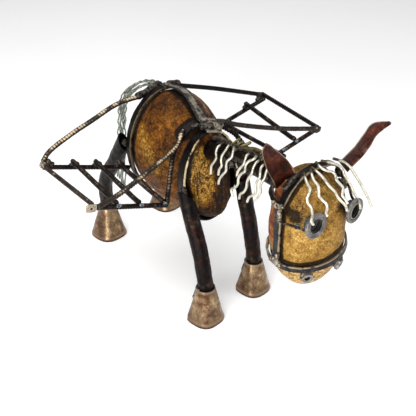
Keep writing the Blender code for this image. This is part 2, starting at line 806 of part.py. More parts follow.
def centre_on_origin(group):
    """Hang every piece on one empty, and move that so the whole is centred over the origin."""
    bpy.context.view_layer.update()
    graph = bpy.context.evaluated_depsgraph_get()
    points = []
    for obj in group.objects:
        evaluated = obj.evaluated_get(graph)
        points += [evaluated.matrix_world @ v.co for v in evaluated.to_mesh().vertices]
        evaluated.to_mesh_clear()
    low = [min(p[k] for p in points) for k in range(3)]
    high = [max(p[k] for p in points) for k in range(3)]
    stand = bpy.data.objects.new("donkey", None)
    for obj in list(group.objects):
        obj.parent = stand
    group.objects.link(stand)
    stand.location = (-(low[0] + high[0]) / 2, -(low[1] + high[1]) / 2, -low[2])


def main():
    clear_scene()
    donkey = collection("recycled_donkey")
    spare = collection("cutters")
    make_stone("body_stone", BODY, donkey, rings=16)
    make_stone("head_stone", HEAD, donkey, rings=16)
    make_hoops(donkey)
    make_spine(donkey)
    make_withers(donkey)
    make_legs(donkey)
    for side in (-1, 1):
        make_tray(side, donkey)
    make_corner_plate(donkey)
    make_neck(donkey)
    make_halter(donkey)
    make_face(donkey)
    make_ears(donkey)
    make_mane(donkey, spare)
    make_forelock(donkey, spare)
    make_tail(donkey, spare)
    centre_on_origin(donkey)


main()
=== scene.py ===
"""Recycled donkey: the looks of the stones, the scrap steel and the wire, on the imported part.

Metres, apart from what mm() is given. Shapes are laid out as in the part's source, with x = 0
on the middle of the back and the donkey facing -Y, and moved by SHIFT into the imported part's
frame. Right is side -1 and left is side 1. Tables with rows for both give x for the left.
"""

import math

import bpy
import numpy as np
from mathutils import Matrix, Vector, noise
from mathutils.kdtree import KDTree


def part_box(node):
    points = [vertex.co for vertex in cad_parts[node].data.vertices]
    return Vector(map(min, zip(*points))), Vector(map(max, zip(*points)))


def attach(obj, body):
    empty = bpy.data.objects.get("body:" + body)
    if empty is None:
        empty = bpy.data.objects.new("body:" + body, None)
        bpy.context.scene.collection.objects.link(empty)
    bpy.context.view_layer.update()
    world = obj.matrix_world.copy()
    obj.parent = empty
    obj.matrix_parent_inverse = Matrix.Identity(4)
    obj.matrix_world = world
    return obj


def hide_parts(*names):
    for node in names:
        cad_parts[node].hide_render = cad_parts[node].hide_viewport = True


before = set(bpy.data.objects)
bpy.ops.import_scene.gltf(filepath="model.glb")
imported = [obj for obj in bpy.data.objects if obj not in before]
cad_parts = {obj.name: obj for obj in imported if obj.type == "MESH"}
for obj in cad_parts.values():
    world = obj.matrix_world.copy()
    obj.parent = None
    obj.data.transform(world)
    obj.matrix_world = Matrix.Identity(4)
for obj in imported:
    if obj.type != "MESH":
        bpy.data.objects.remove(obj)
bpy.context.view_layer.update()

# ---------------------------------------------------------------- sizes, as in the part


def mm(*values):
    """Millimetres as metres, in numbers or in points of them."""
    return tuple(mm(*v) if isinstance(v, tuple) else v / 1000 for v in values)


SIDES = {-1: "right", 1: "left"}

# Stones: pitch in degrees, taper towards the front, and n the power of the superellipsoid.
BODY = dict(centre=mm(0, 82, 207), half=mm(66.3, 110.5, 86), pitch=29, taper=0.34, n=2.0)
HEAD = dict(centre=mm(0, -203, 231), half=mm(50.5, 49, 88.5), pitch=0, taper=0.0, n=2.28)

# A bar is (width, thickness), and a half is half the outer size of a hoop.
REAR_HOOP = dict(y=0.134, z=0.220, half=mm(72.5, 91.5), bar=mm(12, 4.5))
CHEST_HOOP = dict(y=0.0195, z=0.2045, half=mm(50, 77.5), bar=mm(16, 3))
SPINE_BAR = mm(12.5, 3)
WITHERS_ROOT = mm(29.5, 42.5, 275)

NECK = mm((0, 8.8, 252.5), (0, -58, 266.5), (0, -100, 274.5), (0, -152.3, 275.6))
NECK_R = 0.0158
NECK_WALL = 0.002

JUNCTION = mm(52.5, -204, 280)  # where the halter's bars meet beside the poll
HALTER_BAR = mm(12, 3)
YOKE_BAR = mm(7.2, 3)
NOSEBAND = dict(centre=mm(1, -203.5, 202.5), half=mm(55, 53), height=0.009, roll=12)
CHEEK = {-1: 0.0512, 1: 0.0545}  # inner face of each cheek bar, from the middle plane

# Eyes and nostrils: where each is, and the way it looks.
EYES = {
    -1: (mm(35, -252, 270), (-0.04, -1.0, 0.03)),
    1: (mm(36.8, -247, 263), (0.20, -0.98, 0.0)),
}
EYE_R = 0.0174
EYE_BORE = 0.0100
EYE_DEPTH = 0.0042
SLEEVE = 0.0065  # how far the threaded bore goes on behind the collar
BRACKETS = {
    -1: mm((56.7, -206, 263), (56, -220, 264), (53, -233, 265.5)),
    1: mm((60.3, -205, 276.5), (60, -213.5, 275), (48, -233, 270.5)),
}
NOSTRILS = {
    -1: (mm(28.5, -240.2, 179.5), (0.45, -1.0, -0.28)),
    1: (mm(24, -244.2, 182.2), (0.35, -1.0, -0.28)),
}
NOSTRIL_R = 0.0078

ROD = 0.004  # radius of the trays' ribbed bar
RIB_PITCH = 0.0046
TRAY_FRONT = 0.003
TRAY_REAR = 0.1443
TRAY_EDGES = mm(87, 207)
TRAY_LEVEL = {-1: mm(190, 229), 1: mm(199, 229.5)}  # at those edges
STACK = 0.00876  # between the axes of bars that lie on each other
# Bars from front to rear: x at the rear and the front, and whether each end lies over the
# cross bar (1), under it (-1), against it (0) or is bent down to its side (a fraction).
LONG_BARS = {
    -1: {
        "inner_edge": (0.0835, 0.0915, 0.5, 0.5),
        "slat_2": (0.1235, 0.1310, 1, 0.3),
        "slat_1": (0.1620, 0.1670, 1, 0.3),
        "outer_edge": (0.2100, 0.2100, 0, 1),
    },
    1: {
        "inner_edge": (0.0835, 0.0915, 0.5, 0.5),
        "slat_2": (0.1310, 0.1360, -1, -1),
        "slat_1": (0.1740, 0.1630, 1, 0.3),
        "outer_edge": (0.2100, 0.2100, 1, 0),
    },
}
# Bars whose wear and painted highlights are brighter or weaker than the rest, which are USUAL_BAR: finish
# and brightness.
USUAL_BAR = ("rebar", 0.8)
BAR_LOOKS = {
    -1: {
        "outer_edge": ("bright_rebar", 0.45),
        "front_strut": ("bright_rebar", 0.9),
        "rear_strut": ("bright_rebar", 1.0),
    },
    1: {"front_strut": ("bright_rebar", 0.45), "rear_strut": ("rebar", 0.3)},
}
FRONT_STRUT = {
    -1: mm((202.8, -4.9, 232.5), (163, 3, 236.2), (106, 15, 249), (55.8, 25, 264.5), (39, 31.8, 281.5)),
    1: mm((205.2, -5, 233.5), (133.5, 10.3, 248.3), (66, 26.9, 267.1), (37.1, 34.5, 279)),
}
REAR_STRUT = {
    -1: mm(
        (210, 150, 236.3), (196, 149, 251.5), (162, 147.5, 268), (124, 146.5, 282),
        (80, 145.5, 297.5), (34, 144.3, 300.5),
    ),
    1: mm((205.3, 150, 238.5), (107, 148, 275), (26, 144.3, 302.5)),
}
STAY = mm((70, 17, 231.5), (58, 27, 253), (46, 34.5, 263.6), (36.2, 38.5, 271))

LEG_R = 0.0122
LEG_WALL = 0.0022
TUBE_MOUTH = 0.03  # length of a tube's visible bore
HOOF_TOP_R = 0.0160
# Each leg: side, foot, knee, top, the way its cut end slopes up, the hoof's rim radius and
# height, the angle of the hoof's seam and how far the tube's end stands up further.
LEGS = {
    "front_right": (
        -1, mm(56.6, -52.7), mm(54.5, -35, 115), mm(51.4, 1.8, 184.5), (1, 0, 0), mm(29.5, 60), 158, 0.004,
    ),
    "front_left": (
        1, mm(50.5, -36.7), mm(50, -26, 110), mm(51.2, 0.8, 188), (1, 0, 0), mm(29, 56), 158, 0.004,
    ),
    "rear_right": (
        -1, mm(59.8, 243.8), mm(70, 223, 123), mm(71.2, 148.5, 229), (1, 1, 0), mm(32, 58), 40, 0.0,
    ),
    "rear_left": (
        1, mm(79, 267), mm(75, 235, 123), mm(71.2, 148, 229), (1, 1, 0), mm(31.5, 58), 60, 0.0,
    ),
}

WIRE = 0.0018  # radius of the mane's and the forelock's wires
TAIL_WIRE = 0.0014
TAIL_PITCH = 0.0040  # between the tail's wires

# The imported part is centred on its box, so the hoof's place in it gives the move.
hoof_low, hoof_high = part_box("hoof_front_right")
foot_x, foot_y = LEGS["front_right"][1]
SHIFT = Vector(((hoof_low.x + hoof_high.x) / 2 + foot_x, (hoof_low.y + hoof_high.y) / 2 - foot_y, 0.0))

# ---------------------------------------------------------------- materials


def rgb(code):
    """A linear colour from a six-digit hexadecimal one."""
    parts = [int(code[i : i + 2], 16) / 255 for i in (0, 2, 4)]
    return tuple(c / 12.92 if c <= 0.04045 else ((c + 0.055) / 1.055) ** 2.4 for c in parts) + (1.0,)


class Paint:
    """A node material, built up from outputs of nodes."""

    def __init__(self, name, metallic=0.0, roughness=0.5, specular=0.5):
        self.material = bpy.data.materials.new(name)
        self.material.use_nodes = True
        self.tree = self.material.node_tree
        self.shader = self.tree.nodes["Principled BSDF"]
        self.put("Metallic", metallic)
        self.put("Roughness", roughness)
        self.put("Specular IOR Level", specular)
        self.place = self.node("TexCoord", {}, "Object")

    def link(self, value, socket):
        if isinstance(value, bpy.types.NodeSocket):
            self.tree.links.new(value, socket)
        else:
            socket.default_value = value

    def put(self, socket, value):
        self.link(value, self.shader.inputs[socket])

    def node(self, kind, inputs, output=0, **settings):
        """An output of a new node, whose inputs are numbers or other nodes' outputs."""
        node = self.tree.nodes.new("ShaderNode" + kind)
        for name, value in settings.items():
            setattr(node, name, value)
        for name, value in inputs.items():
            self.link(value, node.inputs[name])
        return node.outputs[output]

    def stretched(self, scale, pitch=0.0):
        """Coordinates scaled along the axes, after a pitch in degrees about X."""
        inputs = {"Vector": self.place, "Scale": scale, "Rotation": (math.radians(pitch), 0, 0)}
        return self.node("Mapping", inputs, "Vector")

    def noise(self, scale, detail=5.0, rough=0.55, warp=0.0, place=None):
        inputs = {"Vector": place or self.place, "Scale": scale, "Detail": detail}
        return self.node("TexNoise", {**inputs, "Roughness": rough, "Distortion": warp}, "Fac")

    def cells(self, scale, feature="F1"):
        return self.node("TexVoronoi", {"Vector": self.place, "Scale": scale}, "Distance", feature=feature)

    def step(self, value, low, high, out_low=0.0, out_high=1.0):
        """value between low and high eased to the range out_low to out_high."""
        inputs = {"Value": value, "From Min": low, "From Max": high, "To Min": out_low, "To Max": out_high}
        return self.node("MapRange", inputs, "Result", interpolation_type="SMOOTHSTEP")

    def fall(self, value, low, high):
        """1 where value is under low, easing to 0 at high."""
        return self.step(value, low, high, 1.0, 0.0)

    def math(self, operation, a, b=0.0):
        return self.node("Math", {0: a, 1: b}, operation=operation)

    def plus(self, a, b):
        return self.math("ADD", a, b)

    def less(self, a, b):
        return self.math("SUBTRACT", a, b)

    def most(self, a, b):
        return self.math("MAXIMUM", a, b)

    def times(self, *values):
        product = values[0]
        for value in values[1:]:
            product = self.math("MULTIPLY", product, value)
        return product

    def mixed(self, *shares):
        """The sum of pairs of an output and its weight."""
        total = self.times(*shares[-1])
        for share in shares[-2::-1]:
            total = self.plus(self.times(*share), total)
        return total

    def ramp(self, value, *stops):
        colour = self.node("ValToRGB", {"Fac": value}, "Color")
        elements = colour.node.color_ramp.elements
        while len(elements) < len(stops):
            elements.new(0.5)
        for element, (position, code) in zip(elements, stops):
            element.position = position
            element.color = rgb(code)
        return colour

    def mix(self, amount, a, b):
        a, b = (rgb(c) if isinstance(c, str) else c for c in (a, b))
        return self.node("Mix", {0: amount, 6: a, 7: b}, 2, data_type="RGBA")

    def mark(self, name):
        """How far a named mark painted on the mesh applies, from 0 to 1."""
        return self.node("Attribute", {}, "Fac", attribute_name=name)

    def ragged(self, mark, grain, spread):
        """A mark whose strength is raised and lowered by the grain."""
        return self.plus(self.mark(mark), self.times(self.less(grain, 0.5), spread))

    def axis(self, axis, low, high):
        """0 to 1 as the place along an axis goes from low to high."""
        return self.step(self.node("SeparateXYZ", {0: self.place}, axis), low, high)

    def near(self, point, inner, outer):
        """1 close to a point of the model, falling to 0 at outer metres from it."""
        ends = {0: self.place, 1: Vector(point) + SHIFT}
        return self.fall(self.node("VectorMath", ends, "Value", operation="DISTANCE"), inner, outer)

    def coat(self, colour, roughness, relief, depth, strength):
        """Finish the material. depth is the relief's height in metres."""
        self.put("Base Color", colour)
        self.put("Roughness", roughness)
        inputs = {"Height": relief, "Distance": depth, "Strength": strength}
        self.put("Normal", self.node("Bump", inputs, "Normal"))
        return self.material


def worn_stone(p, tone, stops, gold_stops, pale_stops):
    """Stone coloured by its tone, gilded, pale, and darkened where the mesh is marked dark: painted shade,
    and stains on the head.
    """
    ragged = p.times(p.less(p.noise(140, 6, 0.78, 1.0), 0.5), 2.6)
    gold = p.step(p.plus(p.mark("worn"), ragged), 0.38, 0.78)
    colour = p.mix(gold, p.ramp(tone, *stops), p.ramp(p.noise(260, 5, 0.75, 1.2), *gold_stops))
    streaks = p.noise(40, 6, 0.72, 0.4, p.stretched((1.4, 0.7, 1.8), BODY["pitch"]))
    pale = p.step(p.plus(p.mark("pale"), p.times(ragged, 0.6)), 0.2, 0.8)
    colour = p.mix(pale, colour, p.ramp(streaks, *pale_stops))
    # Near black where marked dark: painted shade beside the bars and on top, and stains.
    shade_and_grime = p.step(p.plus(p.mark("dark"), p.times(ragged, 0.7)), 0.25, 0.80)
    return p.mix(p.times(shade_and_grime, 0.93), colour, "060302"), gold


def body_stone_material():
    p = Paint("worn_body_stone", specular=0.12)
    broad = p.noise(20, 5, 0.6, 0.8)
    mid = p.noise(105, 6, 0.68, 0.5)
    grain = p.noise(330, 4, 0.72, 0.3)
    colour, gold = worn_stone(
        p,
        p.mixed((broad, 0.28), (mid, 0.38), (grain, 0.34)),
        ((0.38, "0e0702"), (0.44, "341b05"), (0.50, "583208"), (0.56, "7a4a10"), (0.65, "a47226")),
        ((0.36, "1c0f04"), (0.44, "5e3c0c"), (0.52, "8c641c"), (0.60, "b88c38"), (0.70, "f4d688")),
        ((0.36, "24150d"), (0.47, "4c301f"), (0.56, "725138"), (0.68, "a4866a")),
    )
    pits = p.times(p.fall(p.cells(260), 0.14, 0.28), p.step(mid, 0.50, 0.58))
    # The chest end is veined with black from top to bottom.
    veins = p.fall(p.noise(135, 6, 0.7, 1.6, p.stretched((1.0, 1.0, 0.32))), 0.43, 0.52)
    chest = p.axis("Y", 0.034 + SHIFT.y, 0.018 + SHIFT.y)
    colour = p.mix(p.most(p.times(pits, 0.8), p.times(veins, chest, 0.9)), colour, "0c0502")
    rough = p.less(0.68, p.mixed((gold, 0.18), (mid, 0.18)))
    return p.coat(colour, rough, p.mixed((mid, 0.5), (grain, 0.45), (pits, -0.4)), 0.0020, 0.95)


def head_stone_material():
    p = Paint("worn_head_stone", specular=0.12)
    broad = p.noise(26, 5, 0.6, 0.5)
    mid = p.noise(120, 6, 0.70, 0.4)
    grain = p.noise(430, 4, 0.75)
    colour, gold = worn_stone(
        p,
        p.mixed((broad, 0.26), (mid, 0.34), (grain, 0.40)),
        ((0.39, "2a1907"), (0.44, "684719"), (0.50, "8a652a"), (0.56, "a6813e"), (0.63, "d8b472")),
        ((0.34, "3a200c"), (0.43, "7c5222"), (0.52, "b08842"), (0.60, "d8bc7c"), (0.70, "fff2cc")),
        ((0.36, "3a1a0a"), (0.48, "6a3514"), (0.56, "8a5028"), (0.68, "aa7c4a")),
    )
    specks = p.times(p.fall(p.cells(520), 0.12, 0.24), p.step(p.noise(60, 4, 0.7), 0.47, 0.56))
    cracks = p.fall(p.cells(120, "DISTANCE_TO_EDGE"), 0.0, 0.06)
    flaws = p.most(specks, p.times(cracks, p.step(p.noise(75, 4, 0.6), 0.57, 0.63)))
    for pit in mm((-46.3, -222.3, 255.9), (-38.8, -236.4, 215.5), (-33.9, -240.3, 207.9)):
        flaws = p.most(flaws, p.near(pit, 0.0008, 0.0022))
    p.put("Metallic", p.times(gold, 0.4))
    colour = p.mix(p.times(flaws, 0.85), colour, "1c0e04")
    rough = p.less(0.66, p.mixed((gold, 0.24), (mid, 0.16)))
    return p.coat(colour, rough, p.mixed((mid, 0.45), (grain, 0.45), (flaws, -0.5)), 0.0019, 0.95)


def steel_material(name, stops, bare, rust, bareness=0.9, metallic=0.75, grain=300, gloss=0.30):
    """Scrap steel: mill scale in the stops' colours, rust in patches, bare metal where marked worn, which on
    the bars is also their painted highlight, and near black where marked dark, which in bores is painted
    shade.
    """
    p = Paint(name, metallic=metallic)
    mid = p.noise(90, 6, 0.68, 0.4)
    tone = p.mixed((mid, 0.55), (p.noise(grain, 5, 0.72), 0.45))
    patches = p.step(p.noise(55, 5, 0.7, 0.8), 0.50, 0.62)
    colour = p.mix(p.times(patches, rust[1]), p.ramp(tone, *stops), rust[0])
    wear_and_highlight = p.times(p.step(p.ragged("worn", tone, 2.4), 0.35, 0.85), bareness)
    colour = p.mix(p.mark("dark"), p.mix(wear_and_highlight, colour, bare), "040303")
    return p.coat(colour, p.plus(gloss, p.times(mid, 0.36)), tone, 0.0010, 0.7)


def hoof_material():
    p = Paint("hoof_sheet_steel", metallic=0.8)
    mid = p.noise(60, 6, 0.68, 0.5)
    fine = p.noise(340, 5, 0.72)
    drawn = p.noise(130, 5, 0.65, 0.3, p.stretched((1, 1, 0.15)))
    tone = p.mixed((mid, 0.62), (drawn, 0.16), (fine, 0.22))
    colour = p.ramp(tone, (0.38, "3a281c"), (0.46, "66503c"), (0.54, "8b7254"), (0.66, "c4aa82"))
    stain = p.step(p.noise(42, 6, 0.72, 1.0), 0.50, 0.64)
    colour = p.mix(p.times(stain, 0.8), colour, "552c1a")
    low = p.times(p.axis("Z", 0.018, 0.002), p.step(mid, 0.40, 0.56))
    colour = p.mix(p.times(low, 0.75), colour, "54291a")
    colour = p.mix(p.times(p.mark("worn"), 0.5), colour, "9e8a70")
    colour = p.mix(p.mark("dark"), colour, "070504")
    return p.coat(colour, p.plus(0.20, p.times(fine, 0.24)), tone, 0.0007, 0.35)


def ear_material():
    p = Paint("rusty_ear_sheet", metallic=0.35, specular=0.25)
    mid = p.noise(65, 6, 0.65, 0.6)
    tone = p.mixed((mid, 0.65), (p.noise(420, 4, 0.7), 0.35))
    colour = p.ramp(tone, (0.40, "100503"), (0.47, "30120a"), (0.55, "4c2014"), (0.68, "7a4634"))
    pale = p.step(p.plus(p.mark("pale"), p.less(tone, 0.5)), 0.35, 0.85)
    colour = p.mix(p.times(pale, 0.8), colour, "7c6050")
    colour = p.mix(p.times(p.step(p.ragged("worn", mid, 1.4), 0.45, 0.95), 0.85), colour, "a08a74")
    colour = p.mix(p.mark("dark"), colour, "080403")
    return p.coat(colour, p.plus(0.30, p.times(mid, 0.25)), tone, 0.0008, 0.5)


def wire_material(name, stops, roughness, root):
    """Bright wire, browned by heat at its root, where the mesh is marked dark."""
    p = Paint(name, metallic=0.75)
    fine = p.noise(600, 4, 0.6)
    broad = p.noise(80, 4, 0.6)
    bright = p.ramp(p.mixed((broad, 0.5), (fine, 0.5)), *stops)
    colour = p.mix(p.step(p.ragged("dark", broad, 0.8), 0.25, 0.85), bright, root)
    return p.coat(colour, p.plus(roughness, p.times(fine, 0.15)), fine, 0.0003, 0.4)


def nut_material():
    p = Paint("grey_nut_steel", metallic=0.6)
    broad = p.noise(90, 4, 0.6, 0.6)
    tone = p.mixed((broad, 0.5), (p.noise(480, 5, 0.7), 0.5))
    colour = p.ramp(tone, (0.36, "262220"), (0.48, "565250"), (0.58, "7e7974"), (0.70, "b2aca4"))
    colour = p.mix(p.times(p.step(p.mark("worn"), 0.3, 1.0), 0.8), colour, "b4b0a8")
    colour = p.mix(p.mark("dark"), colour, "060403")
    return p.coat(colour, p.plus(0.34, p.times(broad, 0.25)), tone, 0.0006, 0.6)


SCALE = ((0.38, "030202"), (0.48, "0c0908"), (0.58, "1c1512"), (0.72, "3c3028"))
TUBE_SCALE = ((0.36, "040303"), (0.48, "0c0908"), (0.58, "191210"), (0.72, "33281f"))
GREY_SCALE = ((0.36, "0c0a09"), (0.47, "2e2a26"), (0.56, "57514a"), (0.70, "8a8276"))
BROWN_SCALE = ((0.36, "070504"), (0.48, "1a130e"), (0.58, "3a2c20"), (0.72, "6e5a44"))
BLUE_SCALE = ((0.37, "060606"), (0.47, "1a1b1c"), (0.56, "383634"), (0.70, "68625a"))
WELD = ((0.36, "1c1612"), (0.46, "4a4036"), (0.55, "74685a"), (0.70, "a09484"))
BURNT_WELD = ((0.38, "020202"), (0.48, "090807"), (0.58, "191513"), (0.70, "3c352e"))
DULL_WELD = ((0.36, "0a0807"), (0.47, "2a2520"), (0.56, "4e463d"), (0.70, "7c7266"))
BLUE_WELD = ((0.38, "05070a"), (0.48, "141b22"), (0.58, "34414a"), (0.70, "76848c"))
# Steels: name, scale, bare metal's colour, which also paints the bars' highlights, rust's colour and amount,
# and then, where they aren't the usual ones, bareness, metallic, fineness of grain and gloss.
STEELS = {
    "strap": ("scrap_flat_bar", SCALE, "8a7c68", ("1e0d08", 0.6)),
    "hoop": ("hoop_flat_bar", SCALE, "7c6850", ("281409", 0.6), 0.85),
    "chest_hoop": ("chest_flat_bar", SCALE, "cdbb94", ("1c1510", 0.6), 1.0),
    "grey_strap": ("bare_flat_bar", GREY_SCALE, "a0968a", ("221812", 0.5), 0.7, 0.4),
    "blue_strap": ("blued_flat_bar", BLUE_SCALE, "a4927a", ("24120a", 0.55), 0.85),
    "tube": ("hammered_tube", TUBE_SCALE, "54402e", ("2a0d07", 0.85), 0.6, 0.85, 150, 0.31),
    "rebar": ("dark_rebar", SCALE, "7c6856", ("2e130c", 0.6), 0.8),
    "bright_rebar": ("worn_rebar", BROWN_SCALE, "c0ac8c", ("2c140c", 0.6), 0.95, 0.45),
    "weld": ("weld_metal", WELD, "b4a792", ("34261a", 0.5), 0.7, 0.4, 420),
    "dark_weld": ("burnt_weld_metal", BURNT_WELD, "5c5348", ("1a0d08", 0.5), 0.55, 0.6, 380),
    "dull_weld": ("dull_weld_metal", DULL_WELD, "948a7c", ("20160e", 0.5), 0.6, 0.5, 400),
    "blue_weld": ("blued_weld_metal", BLUE_WELD, "9aa6ac", ("120e0c", 0.5), 0.7, 0.6, 420),
}
BRIGHT = ((0.30, "8c8673"), (0.45, "c9c4b2"), (0.60, "ece8da"), (0.75, "fbf9f0"))
BRASSY = ((0.34, "1c160c"), (0.46, "544a2c"), (0.58, "8a7e54"), (0.72, "c4b88c"))
GREY = ((0.32, "3a3d38"), (0.45, "757a70"), (0.58, "a4a89c"), (0.72, "cccec2"))

MATERIALS = {finish: steel_material(*steel) for finish, steel in STEELS.items()}
MATERIALS.update({
    "body_stone": body_stone_material(),
    "head_stone": head_stone_material(),
    "hoof": hoof_material(),
    "ear": ear_material(),
    "nut": nut_material(),
    "wire": wire_material("bright_wire", BRIGHT, 0.30, "4a422a"),
    "brass_wire": wire_material("yellowed_wire", BRASSY, 0.35, "141008"),
    "tail_wire": wire_material("grey_wire", GREY, 0.42, "2c2a22"),
})

# ---------------------------------------------------------------- building meshes


class Shape:
    """One piece of the model, gathered from surfaces through rows of points."""

    def __init__(self):
        self.points = []
        self.faces = []
        self.marks = {"worn": [], "dark": [], "pale": []}
        self.count = 0

    def add(self, rows, worn=0.0, dark=0.0, pale=0.0, capped=True, ring=False):
        """rows is an array (rows, points in a row, 3), and each row is closed on itself.
        ring joins the last row to the first, and capped fills the first and last rows."""
        rows = np.asarray(rows, float)
        m, n, _ = rows.shape
        first = self.count
        self.points.append(rows.reshape(-1, 3))
        given = {"worn": worn, "dark": dark, "pale": pale}
        for name, value in given.items():
            given[name] = np.broadcast_to(np.asarray(value, float), (m, n))
            self.marks[name].append(given[name].ravel())
        self.count += m * n
        i, j = np.meshgrid(np.arange(m if ring else m - 1), np.arange(n), indexing="ij")
        corners = [first + (i + p) % m * n + (j + q) % n for p, q in ((0, 0), (0, 1), (1, 1), (1, 0))]
        self.faces += np.stack(corners, -1).reshape(-1, 4).tolist()
        if capped and not ring:
            for row, order in ((0, -1), (m - 1, 1)):
                self.points.append(rows[row].mean(0)[None])
                for name, value in given.items():
                    self.marks[name].append(value[row].mean()[None])
                for k in range(n):
                    pair = (first + row * n + k, first + row * n + (k + 1) % n)
                    self.faces.append([self.count, *pair[::order]])
                self.count += 1

    def make(self, name, finish, slot, smooth=40, dressing=False):
        """The piece, in place of the part's node of its name unless it is dressing."""
        mesh = bpy.data.meshes.new(name)
        points = np.concatenate(self.points) + np.array(SHIFT)
        mesh.from_pydata(points.tolist(), [], self.faces)
        for mark, values in self.marks.items():
            made = mesh.attributes.new(mark, "FLOAT", "POINT")
            made.data.foreach_set("value", np.concatenate(values).astype(np.float32))
        mesh.materials.append(MATERIALS[finish])
        mesh.validate()
        mesh.shade_smooth()
        mesh.set_sharp_from_angle(angle=math.radians(smooth))
        obj = bpy.data.objects.new(name, mesh)
        bpy.context.scene.collection.objects.link(obj)
        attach(obj, "root")
        if not dressing:
            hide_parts(name)


def mirrored(point, side):
    return Vector((side * point[0], point[1], point[2]))


def blend(a, b, t):
    return Vector(a).lerp(Vector(b), t)


def turn_about(axis, degrees):
    return Matrix.Rotation(math.radians(degrees), 3, axis)


def circle(sides):
    return np.linspace(0, 2 * np.pi, sides, endpoint=False)


def unit(vectors):
    return vectors / np.linalg.norm(vectors, axis=-1, keepdims=True)


def smooth_path(stations, steps):
    """Points on a Catmull-Rom curve through the stations, as an array."""
    pts = [np.array(p, float) for p in stations]
    pts = [2 * pts[0] - pts[1]] + pts + [2 * pts[-1] - pts[-2]]
    path = []
    for i in range(1, len(pts) - 2):
        a, b, c, d = pts[i - 1 : i + 3]
        for k in range(steps):
            t = k / steps
            cubic = (3 * b - a - 3 * c + d) * t**3 + (2 * a - 5 * b + 4 * c - d) * t**2
            path.append(0.5 * (2 * b + (c - a) * t + cubic))
    path.append(pts[-2])
    return np.array(path)


def lengths(path):
    gaps = np.linalg.norm(np.diff(path, axis=0), axis=1)
    return np.concatenate([[0.0], np.cumsum(gaps)])


def even(path, gap):
    """The path again with its points about gap apart."""
    path = np.asarray(path, float)
    s = lengths(path)
    marks = np.linspace(0, s[-1], max(3, int(round(s[-1] / gap)) + 1))
    return np.stack([np.interp(marks, s, path[:, k]) for k in range(3)], 1)


def dense(stations):
    return even(smooth_path(stations, 8), 0.0012)


def along(vectors, count):
    """count directions, going evenly through some vectors."""
    vectors = np.array([list(v) for v in vectors], float)
    s = np.linspace(0, len(vectors) - 1, count)
    return np.stack([np.interp(s, np.arange(len(vectors)), vectors[:, k]) for k in range(3)], 1)


def carried(path, up):
    """Two directions square to the path at each point, carried along it without twist."""
    ahead = unit(np.gradient(path, axis=0))
    u = np.array(up, float)
    us = []
    for t in ahead:
        u = unit(u - t * (u @ t))
        us.append(u)
    us = np.array(us)
    return us, np.cross(ahead, us)


def wobble(points, scale, seed):
    """Smooth noise between -1 and 1 at each point of an array."""
    flat = np.asarray(points, float).reshape(-1, 3) * scale + seed
    return np.array([noise.noise(Vector(p)) for p in flat.tolist()]).reshape(np.shape(points)[:-1])


def eased(value, low, high):
    """0 below low, 1 above high, and a smooth rise between."""
    t = np.clip((np.asarray(value) - low) / (high - low), 0, 1)
    return t * t * (3 - 2 * t)


def falloff(points, places, inner, outer):
    """1 within inner metres of the nearest of some places, falling to 0 at outer."""
    tree = KDTree(len(places))
    for index, place in enumerate(places):
        tree.insert(place, index)
    tree.balance()
    gaps = np.array([tree.find(p)[2] for p in points.tolist()])
    return eased(-gaps, -outer, -inner)


def facing(rows, centres, way):
    """Cosine between each point's direction from its row's centre and a way."""
    return unit(rows - centres[:, None]) @ unit(np.array(way, float))


def round_section(path, up, radius, sides):
    """Rows round a path. radius is a number or an array (points, sides)."""
    u, v = carried(path, up)
    a = circle(sides)[None, :, None]
    r = np.broadcast_to(np.asarray(radius, float), (len(path), sides))[..., None]
    return path[:, None] + (u[:, None] * np.cos(a) + v[:, None] * np.sin(a)) * r


# ---------------------------------------------------------------- stones


def reach(stone, d):
    """Distance from the stone's middle to its skin along unit directions in its own frame."""
    a, b, c = stone["half"]
    n = stone["n"]
    low = np.zeros(len(d))
    high = np.full(len(d), 2 * max(a, b, c))
    for _ in range(36):
        r = (low + high) / 2
        slim = 1 - stone["taper"] * np.clip(-r * d[:, 1] / b, -1, 1)
        size = np.abs(r * d[:, 0] / (a * slim)) ** n + np.abs(r * d[:, 1] / b) ** n
        size += np.abs(r * d[:, 2] / (c * slim)) ** n
        inside = size < 1
        low = np.where(inside, r, low)
        high = np.where(inside, high, r)
    return (low + high) / 2


def on_stone(stone, direction, off=0.0):
    """A point off the stone's skin, in the direction given in the model's frame."""
    turn = turn_about("X", stone["pitch"])
    d = turn.transposed() @ Vector(direction).normalized()
    return Vector(stone["centre"]) + turn @ (d * (float(reach(stone, np.array([d]))[0]) + off))


def make_stone(name, stone, rows, sides, lumps, marks):
    """marks is a function from the skin's points to its worn, dark and pale marks."""
    s, t = np.meshgrid(np.linspace(0.0, np.pi, rows), circle(sides), indexing="ij")
    d = np.stack([np.sin(s) * np.cos(t), np.sin(s) * np.sin(t), np.cos(s)], -1).reshape(-1, 3)
    r = reach(stone, d)
    x, y, z = d.T
    lump = np.sin(4.1 * x + 1.3) * np.cos(3.7 * y + 0.4) + 0.6 * np.sin(6.3 * z + 2 * x)
    r -= 0.0008 * (1.6 + lump)
    skin = d * r[:, None]
    for scale, height, seed in lumps:
        r += height * wobble(skin, scale, seed)
    r -= 0.0016 * np.clip(wobble(skin, 330, 5.0) - 0.36, 0, 1)
    points = (d * r[:, None]) @ np.array(turn_about("X", stone["pitch"])).T + np.array(stone["centre"])
    worn, dark, pale = (m.reshape(rows, sides) for m in marks(points))
    shape = Shape()
    shape.add(points.reshape(rows, sides, 3), worn=worn, dark=dark, pale=pale, capped=False)
    shape.make(name, name, "stone", smooth=180)


# Centre lines of the bars that lie on each stone, filled in as the bars are made; the stones' painted shade
# follows them.
LINES = {"body": [], "head": []}

